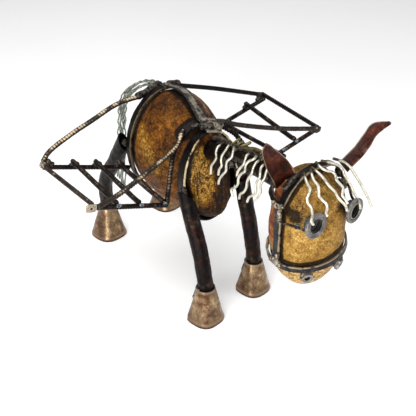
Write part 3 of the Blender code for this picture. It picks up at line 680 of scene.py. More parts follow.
GOLD_ON_BODY = mm(
    (-64.3, 108.5, 256.8), (-66.6, 99, 248), (-66.6, 91.7, 240.5),
    (-66, 85, 232), (-65.7, 77.3, 222.3), (-65, 70, 213),
)
# Places of painted shade in the gaps between the withers' bars, the chest hoop and the body.
SHADE_ON_BODY = mm(
    (-12, 35, 283), (-20, 30, 276), (0, 30, 288), (10, 10, 272), (12, 40, 286), (4, 0, 262), (28, 35, 272)
)
STAINS_ON_HEAD = mm(
    (-45, -207, 276.5), (-44.7, -212, 275), (-44.2, -217, 274), (-43.2, -222, 272), (-41.8, -227, 269.5),
    (-44.5, -204, 285), (18, -244, 276), (25, -241, 270), (24, -238, 285),
)


def body_marks(points):
    x, y, z = points.T
    gold = 0.80 * falloff(points, GOLD_ON_BODY, 0.001, 0.024)
    gold = np.maximum(gold, 0.36 * eased(-z, -0.272, -0.225) * eased(z, 0.170, 0.200))
    chest = eased(-y, -0.030, -0.016)
    flank = eased(-x - 0.5 * np.maximum(0, 0.205 - z), -0.004, 0.018)
    gold = np.maximum(gold, chest * (0.30 + 0.60 * flank))
    # Painted shade beside the bars that lie on the stone.
    shade_and_grime = falloff(points, LINES["body"], 0.0095, 0.0165)
    # More painted shade at the places listed above.
    shade_and_grime = np.maximum(shade_and_grime, falloff(points, SHADE_ON_BODY, 0.007, 0.020))
    # The chest end darkened except on its right side, more so towards its top.
    shade_and_grime = np.maximum(shade_and_grime, chest * (0.62 + 0.18 * eased(z, 0.185, 0.215)) * (1 - flank))
    # Painted shade: the top of the front half darker.
    over = 0.40 * eased(z, 0.270, 0.300) * eased(-y, -0.110, -0.070)
    under = eased(-z - 0.75 * (y - 0.10), -0.200, -0.160) * (1 - chest) * eased(y, 0.045, 0.085)
    far = eased(x, 0.004, 0.014) * (1 - chest) * (0.40 + 0.60 * eased(z, 0.245, 0.285))
    return gold, np.maximum(shade_and_grime, over), np.maximum(0.75 * under, far)


def head_marks(points):
    x, y, z = points.T
    nose = NOSEBAND["centre"][2] + x * math.tan(math.radians(NOSEBAND["roll"]))
    gold = 0.75 * eased(nose - z, 0.004, 0.012) + 0.30 * eased(-z, -0.250, -0.215) * eased(-x, -0.01, 0.03)
    # Painted shade beside the halter's bars on the stone.
    shade_and_grime = falloff(points, LINES["head"], 0.0072, 0.0125)
    stains = falloff(points, STAINS_ON_HEAD, 0.002, 0.0110)
    stains = np.maximum(stains, 0.85 * falloff(points, STAINS_ON_HEAD, 0.002, 0.0210))
    flank = eased(y, -0.206, -0.202) * eased(z, 0.195, 0.235) * eased(-z, -0.306, -0.298)
    # Painted shade: the top of the head darker, reaching lower on its left side.
    over = 0.50 * eased(z + 0.3 * x, 0.268, 0.308)
    return gold, np.maximum(np.maximum(shade_and_grime, 0.95 * stains), over), flank


def make_stones():
    """Each stone's lumps are rows of scale, height and seed."""
    lumps = ((28, 0.0006, 2.0), (85, 0.0005, 9.0), (240, 0.0003, 4.0))
    make_stone("body_stone", BODY, 270, 350, lumps, body_marks)
    lumps = ((34, 0.0005, 1.0), (110, 0.00035, 3.0), (300, 0.00026, 8.0))
    make_stone("head_stone", HEAD, 250, 320, lumps, head_marks)


# ---------------------------------------------------------------- flat bar


def bar_section(width, thickness):
    """Outline of a flat bar: points (across, out), and how much each one is an edge, which sets where wear,
    painted highlight and painted shade go.
    """
    corner = 0.0007
    x, y = width / 2 - corner, thickness - corner
    middles = ((x, y), (-x, y), (-x, corner), (x, corner))
    outline, wear = [], []
    for index, (middle, following) in enumerate(zip(middles, middles[1:] + middles[:1])):
        for k in range(4):
            a = math.radians(90 * index + 30 * k)
            out = corner * np.array((math.cos(a), math.sin(a)))
            outline.append(middle + out)
            wear.append(1.0)
        if index % 2 == 0:
            for f in (0.2, 0.4, 0.6, 0.8):
                outline.append(middle + (np.array(following) - middle) * f + out)
                wear.append(max(0.0, 1 - min(f, 1 - f) * 5) * 0.6)
    return np.array(outline), np.array(wear)


def strap(
    name, finish, path, outward, bar, seed, stone=None, ring=False, rough=1.0, lit=(-0.5, -0.6, 0.6),
    span=(0, 1), bare=0.0, flare=0.0,
):
    """A piece of flat bar along a path of points on its inner face. outward is the way it
    faces, and its edges are bare metal in patches, with a painted highlight on the side towards lit, between
    the heights of span. stone is the one that it lies on, whose painted shade follows it, bare how far its
    face is bare metal too, with its edges then painted dark as painted shade, and flare how much wider its
    last end is."""
    width, thickness = bar
    path = np.asarray(path, float)
    outward = np.broadcast_to(np.asarray(outward, float), path.shape)
    if stone:
        LINES[stone] += path.tolist()
    ahead = np.roll(path, -1, 0) - np.roll(path, 1, 0) if ring else np.gradient(path, axis=0)
    ahead = unit(ahead)
    face = unit(outward - ahead * np.sum(outward * ahead, 1, keepdims=True))
    across = np.cross(ahead, face)
    section, wear = bar_section(width, thickness)
    wider = (1 + flare * np.linspace(0, 1, len(path)) ** 2)[:, None, None]
    rows = path[:, None] + across[:, None] * section[:, :1] * wider + face[:, None] * section[:, 1:]
    middle = path + face * thickness / 2
    lumps = wobble(rows, 110, seed) * 0.00035 + wobble(rows, 420, seed + 3) * 0.00012
    rows = rows + (rows - middle[:, None]) * (rough * lumps / (width / 4))[..., None]
    # Painted highlight: the edges facing lit are marked as bare metal.
    towards_light = eased(facing(rows, middle, lit), 0.15, 0.75)
    towards_light = towards_light * eased(rows[..., 2], span[0] - 0.02, span[0] + 0.01)
    towards_light = towards_light * eased(-rows[..., 2], -span[1] - 0.008, -span[1] + 0.008)
    patchy = eased(wobble(rows, 70, seed + 7) + 0.6 * wobble(rows, 190, seed + 8), -0.45, 0.45)
    edge = wear * (0.10 + 0.90 * towards_light) * (0.6 + 0.4 * patchy) * (1 - 0.8 * bare)
    worn = edge + bare * (1 - wear) * (0.6 + 0.4 * patchy) + 0.25 * wobble(rows, 90, seed + 5)
    shape = Shape()
    # The bare bar's edges are painted dark as painted shade.
    shape.add(rows, worn=np.clip(worn, 0, 1), dark=np.clip(0.7 * bare * wear, 0, 1), ring=ring)
    shape.make(name, finish, "dark_steel")


def make_hoop(name, hoop, finish, seed, lit, span):
    """A hoop of flat bar round the body, upright across it."""
    a = circle(260)
    half_x, half_z = (h - hoop["bar"][1] for h in hoop["half"])
    path = np.stack([half_x * np.cos(a), 0 * a + hoop["y"], hoop["z"] + half_z * np.sin(a)], 1)
    outward = np.stack([np.cos(a) * half_z, 0 * a, np.sin(a) * half_x], 1)
    strap(name, finish, path, outward, hoop["bar"], seed, "body", ring=True, lit=lit, span=span)


def make_harness():
    # The hoops' edges carry a painted highlight on the side towards each lit way, within each span of
    # heights.
    make_hoop("rear_hoop", REAR_HOOP, "hoop", 1.0, (-0.5, -1.0, 0.3), (0, 1))
    make_hoop("chest_hoop", CHEST_HOOP, "chest_hoop", 2.0, (-0.3, -1.0, 0.9), (0.200, 0.274))

    rear_top = REAR_HOOP["z"] + REAR_HOOP["half"][1] + 0.0003
    start = Vector((0.002, REAR_HOOP["y"] + 0.001, rear_top))
    stations = [start, start + Vector((0.001, -0.010, 0.0004))]
    stations += [on_stone(BODY, (0.04, y, 1.0), 0.006) for y in (0.10, -0.15, -0.38, -0.54)]
    up = (0.1, -0.1, 1.0)
    look = dict(rough=1.6, bare=0.9, flare=0.45)
    strap("spine_band", "grey_strap", dense(stations), up, SPINE_BAR, 4.0, "body", **look)

    root = Vector(WITHERS_ROOT) - Vector(BODY["centre"])
    faces = []
    for k in range(21):
        s = 2 * k / 20 - 1
        bow = 1 - s * s
        faces.append(Vector((s * root.x, root.y - 0.003 * bow, root.z + 0.014 * bow)))
    path = dense([on_stone(BODY, face, 0.0014) for face in faces])
    strap("withers_strap", "strap", path, along(faces, len(path)), HALTER_BAR, 5.0, "body")


def bored_plate(name, finish, slot, bore, rim, profile, turn, place, lumps=0.0):
    """A plate with a bore. bore and rim are its outlines seen from the bore's middle, and each
    row of the profile is its share of the way from bore to rim, its height and its wear."""
    rows = []
    for share, height, _ in profile:
        local = np.column_stack([bore + (rim - bore) * share, np.full(len(rim), height)])
        local[:, 2] += lumps * wobble(local, 160, 3.0)
        rows.append(local @ np.array(turn).T + np.array(place))
    shape = Shape()
    shape.add(rows, worn=np.array([[wear] for _, _, wear in profile]), ring=True)
    shape.make(name, finish, slot)


def make_withers_plate():
    a = circle(72)
    bore = 0.0028 * np.stack([np.cos(a), np.sin(a)], 1) + (0.006, 0.0)
    across, ahead = 0.0155 + 0.0025 * np.cos(5 * a), 0.0110 + 0.0020 * np.sin(3 * a)
    rim = np.stack([across * np.cos(a), ahead * np.sin(a)], 1)
    profile = (
        (0.0, -0.0019, 0), (0.95, -0.0019, 0.3), (1.0, -0.0010, 1), (1.0, 0.0010, 1),
        (0.95, 0.0019, 1), (0.7, 0.0021, 0.3), (0.4, 0.0021, 0.2), (0.08, 0.0020, 0.8), (0.0, 0.0015, 1),
    )
    place = (0.006, CHEST_HOOP["y"] - 0.006, CHEST_HOOP["z"] + CHEST_HOOP["half"][1] + 0.0030)
    tilt = turn_about("X", 8)
    bored_plate("withers_plate", "dull_weld", "dark_steel", bore, rim, profile, tilt, place, 0.0004)


def make_corner_plate():
    """A small plate at the front corner of the right tray."""
    a = circle(64)
    square = np.maximum(np.abs(np.cos(a)) ** 5 + np.abs(np.sin(a)) ** 5, 1e-6) ** (-1 / 5)
    rim = np.stack([0.0080 * square * np.cos(a), 0.0060 * square * np.sin(a)], 1)
    bore = 0.0019 * np.stack([np.cos(a), np.sin(a)], 1)
    profile = (
        (0.0, -0.0013, 0), (0.92, -0.0014, 0.5), (1.0, -0.0008, 1), (1.0, 0.0008, 1),
        (0.92, 0.0014, 1), (0.5, 0.0014, 0.5), (0.06, 0.0014, 1), (0.0, 0.0009, 0.5),
    )
    place = mm(-212.4, -4.3, 233.5)
    upright = turn_about("Y", 12) @ turn_about("X", 90)
    bored_plate("tray_right_corner_plate", "weld", "rebar", bore, rim, profile, upright, place)


# ---------------------------------------------------------------- round bar


def rebar(name, finish, stations, seed, bright, swell):
    """A piece of ribbed bar along a path: two seams lengthwise, slanting ribs between, and
    bright metal, wear and painted highlight, on the ribs that face up, forward and to the right. swell makes
    it thicker."""
    path = even(smooth_path(stations, 6) if len(stations) > 2 else stations, 0.0008)
    s = lengths(path)[:, None]
    sides = 18
    a = circle(sides)[None]
    crescent = np.abs(np.sin(a)) ** 0.6
    phase = s / RIB_PITCH + 0.26 * np.cos(a) + 0.5 * (np.sin(a) < 0) + seed
    rib = eased(0.5 + 0.5 * np.cos(2 * np.pi * phase), 0.05, 0.55) * crescent
    seam = np.exp(-((np.abs(np.sin(a)) / 0.25) ** 2))
    left = np.minimum(s, s[-1] - s)
    ends = 0.80 + 0.20 * np.sqrt(np.clip(left / 0.0009, 0, 1))
    radius = (ROD - 0.00100 + swell + 0.00090 * rib + 0.00045 * seam) * ends
    up = (0.3 + math.sin(seed), 0.2, 1.0)
    rows = round_section(path, up, radius, sides)
    rows = round_section(path, up, radius + 0.00014 * wobble(rows, 260, seed), sides)
    # Painted highlight: bare metal on the ribs that face the light.
    towards_light = eased(facing(rows, path, (-0.45, -0.55, 0.75)), 0.45, 1.0)
    patchy = eased(wobble(rows, 60, seed + 4), -0.6, 0.5)
    worn = bright * towards_light * (0.50 + 0.50 * rib) * (0.45 + 0.55 * patchy)
    shape = Shape()
    shape.add(rows, worn=np.clip(worn + 0.30 * wobble(rows, 90, seed + 2), 0, 1))
    shape.make(name, finish, "rebar")


def tray_level(side, x):
    inner, outer = TRAY_EDGES
    low, high = TRAY_LEVEL[side]
    return low + (high - low) * (x - inner) / (outer - inner)


def long_bar_end(side, x, seat, cross_y, away):
    past = ROD + 0.0015 if abs(seat) == 1 else -ROD + 0.001
    if x == LONG_BARS[side]["outer_edge"][0] and seat == 0:
        past = ROD + (0.0055 if away > 0 else 0.0)
    return Vector((x, cross_y + away * past, tray_level(side, x) + seat * STACK))


def make_tray(side):
    seed = 3.0 + side

    def bar(name, points):
        nonlocal seed
        seed += 1.7
        finish, bright = BAR_LOOKS[side].get(name, USUAL_BAR)
        swell = 0.0 if name == "outer_edge" else 0.00028
        rebar(f"tray_{SIDES[side]}_{name}", finish, [mirrored(p, side) for p in points], seed, bright, swell)

    for name, (x_rear, x_front, rear_seat, front_seat) in LONG_BARS[side].items():
        rear = long_bar_end(side, x_rear, rear_seat, TRAY_REAR, 1)
        front = long_bar_end(side, x_front, front_seat, TRAY_FRONT, -1)
        points = [front, rear]
        if front_seat not in (-1, 0, 1):
            # The end is bent down to meet the cross bar's side.
            points[1:1] = [blend(front, rear, 0.03) + Vector((0, 0, 0.0016)), blend(front, rear, 0.12)]
        bar(name, points)

    outer, _, *seats = LONG_BARS[side]["outer_edge"]
    rear_x, front_x = (outer - ROD if seat == 0 else outer + 0.0025 for seat in seats)
    bar("rear_bar", [(x, TRAY_REAR, tray_level(side, x)) for x in (rear_x, 0.066)])
    points = [(x, TRAY_FRONT, tray_level(side, x)) for x in (front_x, 0.0985, 0.0905)]
    corner = tray_level(side, TRAY_EDGES[0])
    points.append((0.0862, TRAY_FRONT + 0.0004, corner + 0.0035))
    points.append((0.0834, TRAY_FRONT + 0.0022, corner + 0.0120))
    bar("front_bar", points + list(STAY))
    bar("front_strut", FRONT_STRUT[side])
    bar("rear_strut", REAR_STRUT[side])


# ---------------------------------------------------------------- tubes: legs and neck


def hollow_tube(path, radius, wall, up, slant, seed, sides=40, dents=0.0003, end_darkening=0.0):
    """A tube with a visible bore at its last end, which is cut on the slant, higher towards
    up, its bore darkening inwards as painted shade. The last argument is how dark that end is made outside."""
    u, v = carried(path, up)
    a = circle(sides)[:, None]
    s = lengths(path)
    left = s[-1] - s
    out = u[:, None] * np.cos(a) + v[:, None] * np.sin(a)
    shear = np.maximum(0.0, 1 - left / TUBE_MOUTH)[:, None, None]
    cut = unit(path[-1] - path[-3]) * (slant / 2 * np.cos(a) * shear)
    outer = path[:, None] + out * radius + cut
    inner = (path[:, None] + out * (radius - wall) + cut)[left < TUBE_MOUTH][::-1]
    facets = dents * (wobble(outer, 75, seed) + 0.5 * wobble(outer, 190, seed + 4))
    flats = 0.00022 * np.cos(6 * a[:, 0] + 3 * np.sin(s[:, None] * 90))
    fade = np.clip(left / 0.004 + 0.3, 0, 1)[:, None]
    outer = outer + (outer - path[:, None]) / radius * ((facets + flats) * fade)[..., None]
    worn = np.clip(0.25 + 0.8 * wobble(outer, 60, seed + 9), 0, 0.5)
    worn[-2:] = 0.8 - 0.6 * end_darkening
    worn = np.concatenate([worn, np.zeros(inner.shape[:2])])
    worn[len(outer)] = 0.9 - 0.7 * end_darkening
    end_dark = end_darkening * eased(s, s[-1] - 0.030, s[-1] - 0.006)
    # The bore darkens inwards as painted shade.
    dark = np.concatenate([end_dark, np.linspace(0, 1, len(inner))])[:, None]
    shape = Shape()
    shape.add(np.concatenate([outer, inner]), worn=worn, dark=dark)
    return shape


def make_hoof(name, foot, rim, height, seam, seed):
    """A cone of sheet rolled round the foot, its edge lapped and welded at seam degrees."""
    sides, levels = 96, 26
    sheet, lap, flare_power = 0.0016, 0.22, 2.7
    start = math.radians(seam)
    a = start + np.linspace(0, 2 * np.pi + lap, sides)
    z = np.linspace(0.0, height, levels)[:, None] * np.ones(sides)
    share = z / height
    # Towards the ground the outline turns from a circle to a rounded square.
    b = a - math.radians(11)
    square = (np.abs(np.cos(b)) ** flare_power + np.abs(np.sin(b)) ** flare_power) ** (-1 / flare_power)
    radius = (rim + (HOOF_TOP_R - rim) * share) * (1 + (square * 0.955 - 1) * (1 - share) ** 0.7)
    radius -= 0.0014 * ((a - start) / (2 * np.pi) - 0.5)
    radius += 0.0006 * np.exp(-(((z - 0.004) / 0.003) ** 2)) - 0.0012
    spots = np.stack([np.cos(a) * rim + 0 * z, np.sin(a) * rim + 0 * z, z], -1)
    radius += 0.0005 * wobble(spots, 45, seed)
    radius[0] -= 0.0007
    lift = 0.00132 * np.exp(-(((a - start) % (2 * np.pi) / 0.35) ** 2)) * share**4
    outer = np.stack([radius * np.cos(a), radius * np.sin(a), z + lift], -1)
    inner = outer.copy()
    inner[..., :2] -= unit(outer[..., :2]) * sheet
    loop = np.concatenate([outer, inner[::-1]]) + np.array((foot[0], foot[1], 0.0))
    worn, dark = np.zeros((2, len(loop)))
    worn[2:4] = 0.8
    worn[levels - 2 : levels + 1] = 0.9
    # Painted shade inside the rolled sheet.
    dark[levels + 1 :] = 1.0
    dark[:2] = 0.55
    shape = Shape()
    shape.add(loop.transpose(1, 0, 2), worn=worn, dark=dark)
    # The sole, a little up inside the rim, painted dark as shade.
    b = circle(48)
    rows = [
        np.stack([foot[0] + r * np.cos(b), foot[1] + r * np.sin(b), np.full(48, h)], 1)
        for r, h in ((0.002, 0.0008), (rim - 0.0035, 0.0006), (rim - 0.0035, 0.003), (0.002, 0.003))
    ]
    shape.add(rows, dark=1.0)
    shape.make("hoof_" + name, "hoof", "hoof_sheet")


def make_legs():
    for index, (name, leg) in enumerate(LEGS.items()):
        side, (x, y), knee, top, up, (rim, height), seam, rise = leg
        stations = ((x, y, 0.004), (x, y, height), knee, blend(knee, top, 0.55), top)
        path = smooth_path([mirrored(p, side) for p in stations], 12)
        path = even(np.vstack([path, path[-1] + unit(path[-1] - path[-4]) * rise]), 0.0021)
        look = dict(dents=0.00045, end_darkening=0.85)
        shape = hollow_tube(path, LEG_R, LEG_WALL, mirrored(up, side), 0.026, index * 3.1, **look)
        # Dross in the tube's mouth.
        rows = round_section(path[-6:-3], (1, 1, 0), LEG_R - 0.0024, 24)
        shape.add(rows + 0.0012 * wobble(rows, 330, index)[..., None], worn=0.4)
        shape.make("leg_" + name, "tube", "dark_steel")
        make_hoof(name, mirrored((x, y, 0.0), side), rim, height, seam, index * 5.0)


def make_neck():
    path = even(smooth_path(NECK, 12), 0.002)
    shape = hollow_tube(path, NECK_R, NECK_WALL, (0, 0, 1), 0.0, 11.0, sides=48, dents=0.0006)
    shape.make("neck", "tube", "dark_steel")


# ---------------------------------------------------------------- halter


def crown_direction(angle):
    a = math.radians(angle)
    out, _, up = Vector(JUNCTION) - Vector(HEAD["centre"])
    rise = math.sin(a)
    return Vector((-out * math.cos(a), -0.007 * rise, up + 0.046 * rise))


def crown_point(angle):
    loose = 0.0115 * math.sin(math.radians(max(0.0, angle - 105) / 130 * 180))
    return on_stone(HEAD, crown_direction(angle), 0.0012 + loose)


def make_halter():
    arc = [4 + 172 * k / 24 for k in range(25)]
    path = dense([crown_point(a) for a in arc])
    outward = along([crown_direction(a) for a in arc], len(path))
    strap("crown_band", "strap", path, outward, HALTER_BAR, 7.0, "head")

    out, ahead, up = Vector(JUNCTION) - Vector(HEAD["centre"])
    start = math.radians(9)
    faces = []
    for k in range(23):
        a = start + (math.pi - 2 * start) * k / 22
        back = math.sin(a)
        faces.append(Vector((-out * math.cos(a), ahead + 0.055 * back, up + 0.010 * back)))
    path = dense([on_stone(HEAD, face, 0.0030) for face in faces])
    strap("poll_yoke", "hoop", path, along(faces, len(path)), YOKE_BAR, 8.0)

    roll = np.array(turn_about("Y", -NOSEBAND["roll"]))
    a = circle(220)
    half_x, half_y = (h - HALTER_BAR[1] for h in NOSEBAND["half"])
    ring = np.stack([half_x * np.cos(a), half_y * np.sin(a), 0 * a], 1) @ roll.T
    ring = ring + np.array(NOSEBAND["centre"])
    outward = np.stack([np.cos(a) * half_y, np.sin(a) * half_x, 0 * a], 1) @ roll.T
    bar = (NOSEBAND["height"], HALTER_BAR[1])
    # The noseband's painted highlight is on its top edge, towards lit.
    lit = (-0.3, -0.4, 1.0)
    strap("noseband", "blue_strap", ring, outward, bar, 9.0, "head", ring=True, lit=lit)

    for side, where in SIDES.items():
        low = noseband_level(side) + NOSEBAND["height"] / 2 - 0.001
        levels = np.linspace(low, JUNCTION[2] + 0.001, 9)
        path = dense([mirrored((CHEEK[side], JUNCTION[1], z), side) for z in levels])
        strap("cheek_bar_" + where, "blue_strap", path, (side, 0, 0), HALTER_BAR, 10.0 + side, "head")


def noseband_level(side):
    """Height of the noseband where a cheek bar meets it."""
    return NOSEBAND["centre"][2] + side * CHEEK[side] * math.sin(math.radians(NOSEBAND["roll"]))


# ---------------------------------------------------------------- face


def looking(rows, place, direction, side):
    """Rows laid out round Z, turned to look in a direction from a place on one side."""
    turn = mirrored(direction, side).to_track_quat("Z", "Y").to_matrix()
    return rows @ np.array(turn).T + np.array(mirrored(place, side))


def collar_profile(lipped):
    """Eye collar: a flat ring face, a deep threaded bore and, on one, a bright lip round it.
    Each row is its radius, height, worn and dark, dark being painted shade down the bore."""
    rim, top, bore, end = EYE_R, EYE_DEPTH, EYE_BORE - 0.0006, -SLEEVE
    rows = [
        (rim - 0.0012, 0.0, 0, 0), (rim - 0.0003, 0.0004, 0.2, 0),
        (rim, 0.0012, 0.6, 0), (rim, 0.0032, 0.3, 0),
        (rim - 0.0004, 0.0039, 0.6, 0), (rim - 0.0012, top, 0.3, 0), (rim - 0.0030, top - 0.0001, 0, 0),
    ]
    if lipped:
        rows += [(bore + 0.0032, top - 0.0001, 0.2, 0), (bore + 0.0024, top - 0.0012, 0, 1)]
        rows += [(bore + 0.0016, top - 0.0001, 1, 0), (bore + 0.0008, top, 0.6, 0)]
    else:
        rows += [(bore + 0.0026, top - 0.0003, 0.1, 0), (bore + 0.0010, top - 0.0006, 0.5, 0.1)]
    rows.append((bore + 0.0002, top - 0.0012, 0.2, 0.6))
    z = top - 0.0020
    while z > 0.0020 + end:
        rows += [(bore + 0.0006, z, 0, 1), (bore + 0.0006, z - 0.0010, 0, 1)]
        rows += [(bore - 0.0003, z - 0.0014, 0.8, 0.62), (bore - 0.0003, z - 0.0017, 0.8, 0.62)]
        z -= 0.0024
    rows += [(0.0004, end - 0.0004, 0, 1), (0.0004, end - 0.0016, 0, 1)]
    return rows + [(bore + 0.0018, end - 0.0016, 0, 0.5), (bore + 0.0018, -0.0002, 0, 0.5)]


def make_collar(side, where):
    r, h, worn, dark = np.array(collar_profile(side > 0)).T[..., None]
    a = circle(72)
    rows = np.stack([r * np.cos(a), r * np.sin(a), h + 0 * a], -1)
    rows = rows + 0.00012 * wobble(rows, 300, 2.0)[..., None]
    shape = Shape()
    shape.add(looking(rows, *EYES[side], side), worn=worn, dark=dark, ring=True)
    shape.make("eye_collar_" + where, "nut", "nut_steel", smooth=50)


def make_bracket(side, where):
    """Wire from the halter to the eye collar, with a brace on the right one."""
    place, looks = EYES[side]
    arm = [*BRACKETS[side], (place[0] + 0.0135, place[1] + 0.0120 * looks[0] + 0.0012, 0.2665)]
    path = even(smooth_path([mirrored(p, side) for p in arm], 8), 0.001)
    shape = Shape()
    radius = WIRE * (1 + 0.15 * wobble(path, 300, 1.0))[:, None]
    shape.add(round_section(path, (0, 0, 1), radius, 12), worn=0.45)
    if side < 0:
        brace = even([path[-1], path[-1] + np.array((0.0105, -0.0005, 0.0106))], 0.001)
        shape.add(round_section(brace, (1, 0, 0), WIRE * 0.9, 12), worn=0.3)
    shape.make("eye_bracket_" + where, "strap", "rebar")


def make_nostril(side, where):
    """A hexagon nut with chamfered corners and a threaded bore. Each row of its profile is
    its radius, height, worn, dark and how far it is a hexagon, dark being painted shade in the bore."""
    wide, half = NOSTRIL_R * 1.12, 0.0025
    profile = (
        (0.0040, -half, 0, 1, 0), (wide, -half, 0.3, 0, 1), (wide, half - 0.0009, 0.6, 0, 1),
        (wide * 0.93, half, 0.8, 0, 0.35), (0.0052, half, 0.4, 0, 0), (0.0044, half - 0.0003, 0.9, 0.2, 0),
        (0.0038, half - 0.0009, 0.3, 0.6, 0), (0.0042, half - 0.0014, 0, 1, 0),
        (0.0038, half - 0.0019, 0.2, 0.8, 0), (0.0042, half - 0.0024, 0, 1, 0),
    )
    r, h, worn, dark, hexagon = np.array(profile).T[..., None]
    a = circle(72)
    flat = math.cos(math.pi / 6) / np.cos(a % (math.pi / 3) - math.pi / 6)
    radius = r * (1 + (flat - 1) * hexagon)
    rows = np.stack([radius * np.cos(a), radius * np.sin(a), h + 0 * a], -1)
    rows *= 1 + 0.10 * (hexagon * wobble(rows, 170, 2.0 + side))[..., None]
    shape = Shape()
    shape.add(looking(rows, *NOSTRILS[side], side), worn=worn, dark=dark, ring=True)
    shape.make("nostril_nut_" + where, "nut", "nut_steel", smooth=30)


# ---------------------------------------------------------------- ears


def make_ear(name, spine, base_across, tip_across, widths, cup, seed, blunt, patch):
    """A leaf of sheet, cupped along its length, with its rim marked worn. blunt is the share of
    its length that rounds off at the tip, and patch where along it its pale patch lies."""
    path = even(smooth_path(spine, 12), 0.0015)
    count = len(path)
    t = np.linspace(0, 1, count)
    half = np.interp(t, np.linspace(0, 1, len(widths)), widths)
    half = np.convolve(np.pad(half, 4, "edge"), np.ones(9) / 9, "valid")
    half *= np.sqrt(np.clip(1 - eased(t, 1 - blunt, 1.0) ** 2, 0.01, 1))
    across = unit(along((base_across, tip_across), count))
    back = unit(np.cross(across, np.gradient(path, axis=0)))
    s = np.linspace(-1, 1, 25)
    spots = path[:, None] + across[:, None] * (half[:, None] * s)[..., None]
    dents = 0.0007 * wobble(spots, 70, seed) + 0.0003 * wobble(spots, 220, seed)
    lift = cup * half[:, None] * s**2 + dents
    front = spots + back[:, None] * lift[..., None]
    rear = front + back[:, None] * 0.0017
    loop = np.concatenate([front, rear[:, ::-1]], 1)
    rim = np.clip((np.abs(s) - 0.80) / 0.2, 0, 1) * np.ones((count, 1))
    worn = np.concatenate([rim, rim[:, ::-1]], 1)
    worn[-3:] = 0.6
    dark = 0.75 * np.clip(1 - t / 0.16, 0, 1)[:, None]
    pale = np.exp(-(((t - patch) / 0.10) ** 2))[:, None] * (0.5 + 1.2 * wobble(loop, 55, seed))
    shape = Shape()
    shape.add(loop, worn=worn, dark=dark, pale=np.clip(pale, 0, 1))
    shape.make(name, "ear", "rusty_sheet", smooth=60)


def make_ears():
    spine = mm(
        (-35.2, -192.5, 308), (-46.2, -193.5, 327), (-62.2, -197.5, 350),
        (-73.5, -200.5, 366), (-77.8, -203.5, 376),
    )
    widths = mm(15, 14.8, 13.8, 9.8, 4.6)
    make_ear("ear_right", spine, (0.80, -0.28, 0.52), (0.95, -0.25, 0.20), widths, 0.35, 1.0, 0.14, 0.95)
    spine = mm(
        (44.5, -213.4, 309.5), (62.5, -219, 327.5), (79, -216.5, 338),
        (90.5, -219, 352.5), (111.5, -227, 358),
    )
    widths = mm(10.8, 10.4, 11, 9.4, 1.6)
    make_ear("ear_left", spine, (-0.60, 0.15, 0.80), (-0.40, 0.20, 0.85), widths, -0.3, 2.0, 0.03, 0.42)


# ---------------------------------------------------------------- hair of kinked wire

# Each wire of the right side of the mane: its kinks as (y, z) in millimetres, from the crest.
MANE_RIGHT = (
    ((-25, 280), (-27, 277), (-27, 270), (-33, 265), (-29, 257), (-20, 245), (-19, 231)),
    ((-41, 287), (-48, 283), (-42, 271), (-44, 265), (-46, 257), (-39, 247), (-38, 238)),
    (
        (-50, 286), (-63, 285), (-65, 278), (-58, 270), (-56, 261), (-56, 253), (-47, 242), (-40, 232),
        (-38, 223),
    ),
    ((-88, 291), (-93, 292), (-94, 286), (-96, 282), (-88, 272), (-83, 265), (-81, 257)),
    (
        (-101, 294), (-110, 294), (-103, 289), (-100, 283), (-99, 272), (-90, 264), (-84, 254), (-84, 245),
        (-77, 235), (-68, 229), (-73, 218),
    ),
    (
        (-110, 291), (-113, 289), (-112, 282), (-114, 276), (-108, 267), (-104, 259), (-103, 249),
        (-98, 239), (-89, 231), (-87, 222),
    ),
    (
        (-121, 291), (-124, 287), (-127, 281), (-131, 278), (-123, 265), (-124, 254), (-122, 247),
        (-109, 236), (-105, 226),
    ),
    ((-127, 292), (-135, 284), (-137, 278), (-135, 272), (-132, 264), (-134, 256), (-128, 244), (-122, 234)),
)
LEFT_LENGTHS = mm(34, 42, 38, 46, 50, 44)  # of the wires on the left of the mane

# Each wire of the forelock: its kinks, from the crown band.
FORELOCK = mm(
    (
        (-21, -212, 321), (-25, -219, 318), (-28, -227, 314), (-28, -232, 311), (-32, -235, 306),
        (-35, -235, 301), (-36, -238, 295), (-36, -245, 292), (-42, -254, 288), (-50, -260.5, 286),
        (-46, -261, 279.5),
    ),
    (
        (-12, -214, 324), (-18, -224, 320), (-20, -230, 317), (-19, -236, 314), (-21, -240, 308),
        (-23, -243, 303), (-20, -246, 298), (-17, -251, 294), (-18, -254, 289), (-22, -256, 285),
        (-22, -260, 282),
    ),
    (
        (-9, -212, 325), (-8, -227, 321), (-7, -233, 318), (-7, -239, 314), (-4, -244, 308), (0, -247, 303),
        (2, -251, 296), (6, -255, 290), (10, -258, 285), (8, -263, 280),
    ),
    (
        (2, -208, 327), (-1, -220, 325), (2, -227, 323), (9, -230, 321), (11, -234, 318), (8, -239, 314),
        (12, -243, 308), (15, -246, 303), (10, -250, 299), (8, -252, 297), (11, -256, 292), (11, -260, 288),
    ),
    (
        (9, -209, 327), (18, -217, 325), (28, -222, 320), (31, -227, 315), (28, -234, 311), (32, -238, 303),
        (35, -240, 297), (36, -244, 290), (40, -246, 282), (43, -248, 277), (37, -257, 276), (34, -261, 273),
    ),
    (
        (28, -211, 325), (39, -220, 321), (44, -227, 315), (47, -234, 306), (50, -241, 297), (53, -247, 287),
        (55, -252, 279), (57, -256, 271), (58, -259, 266),
    ),
)


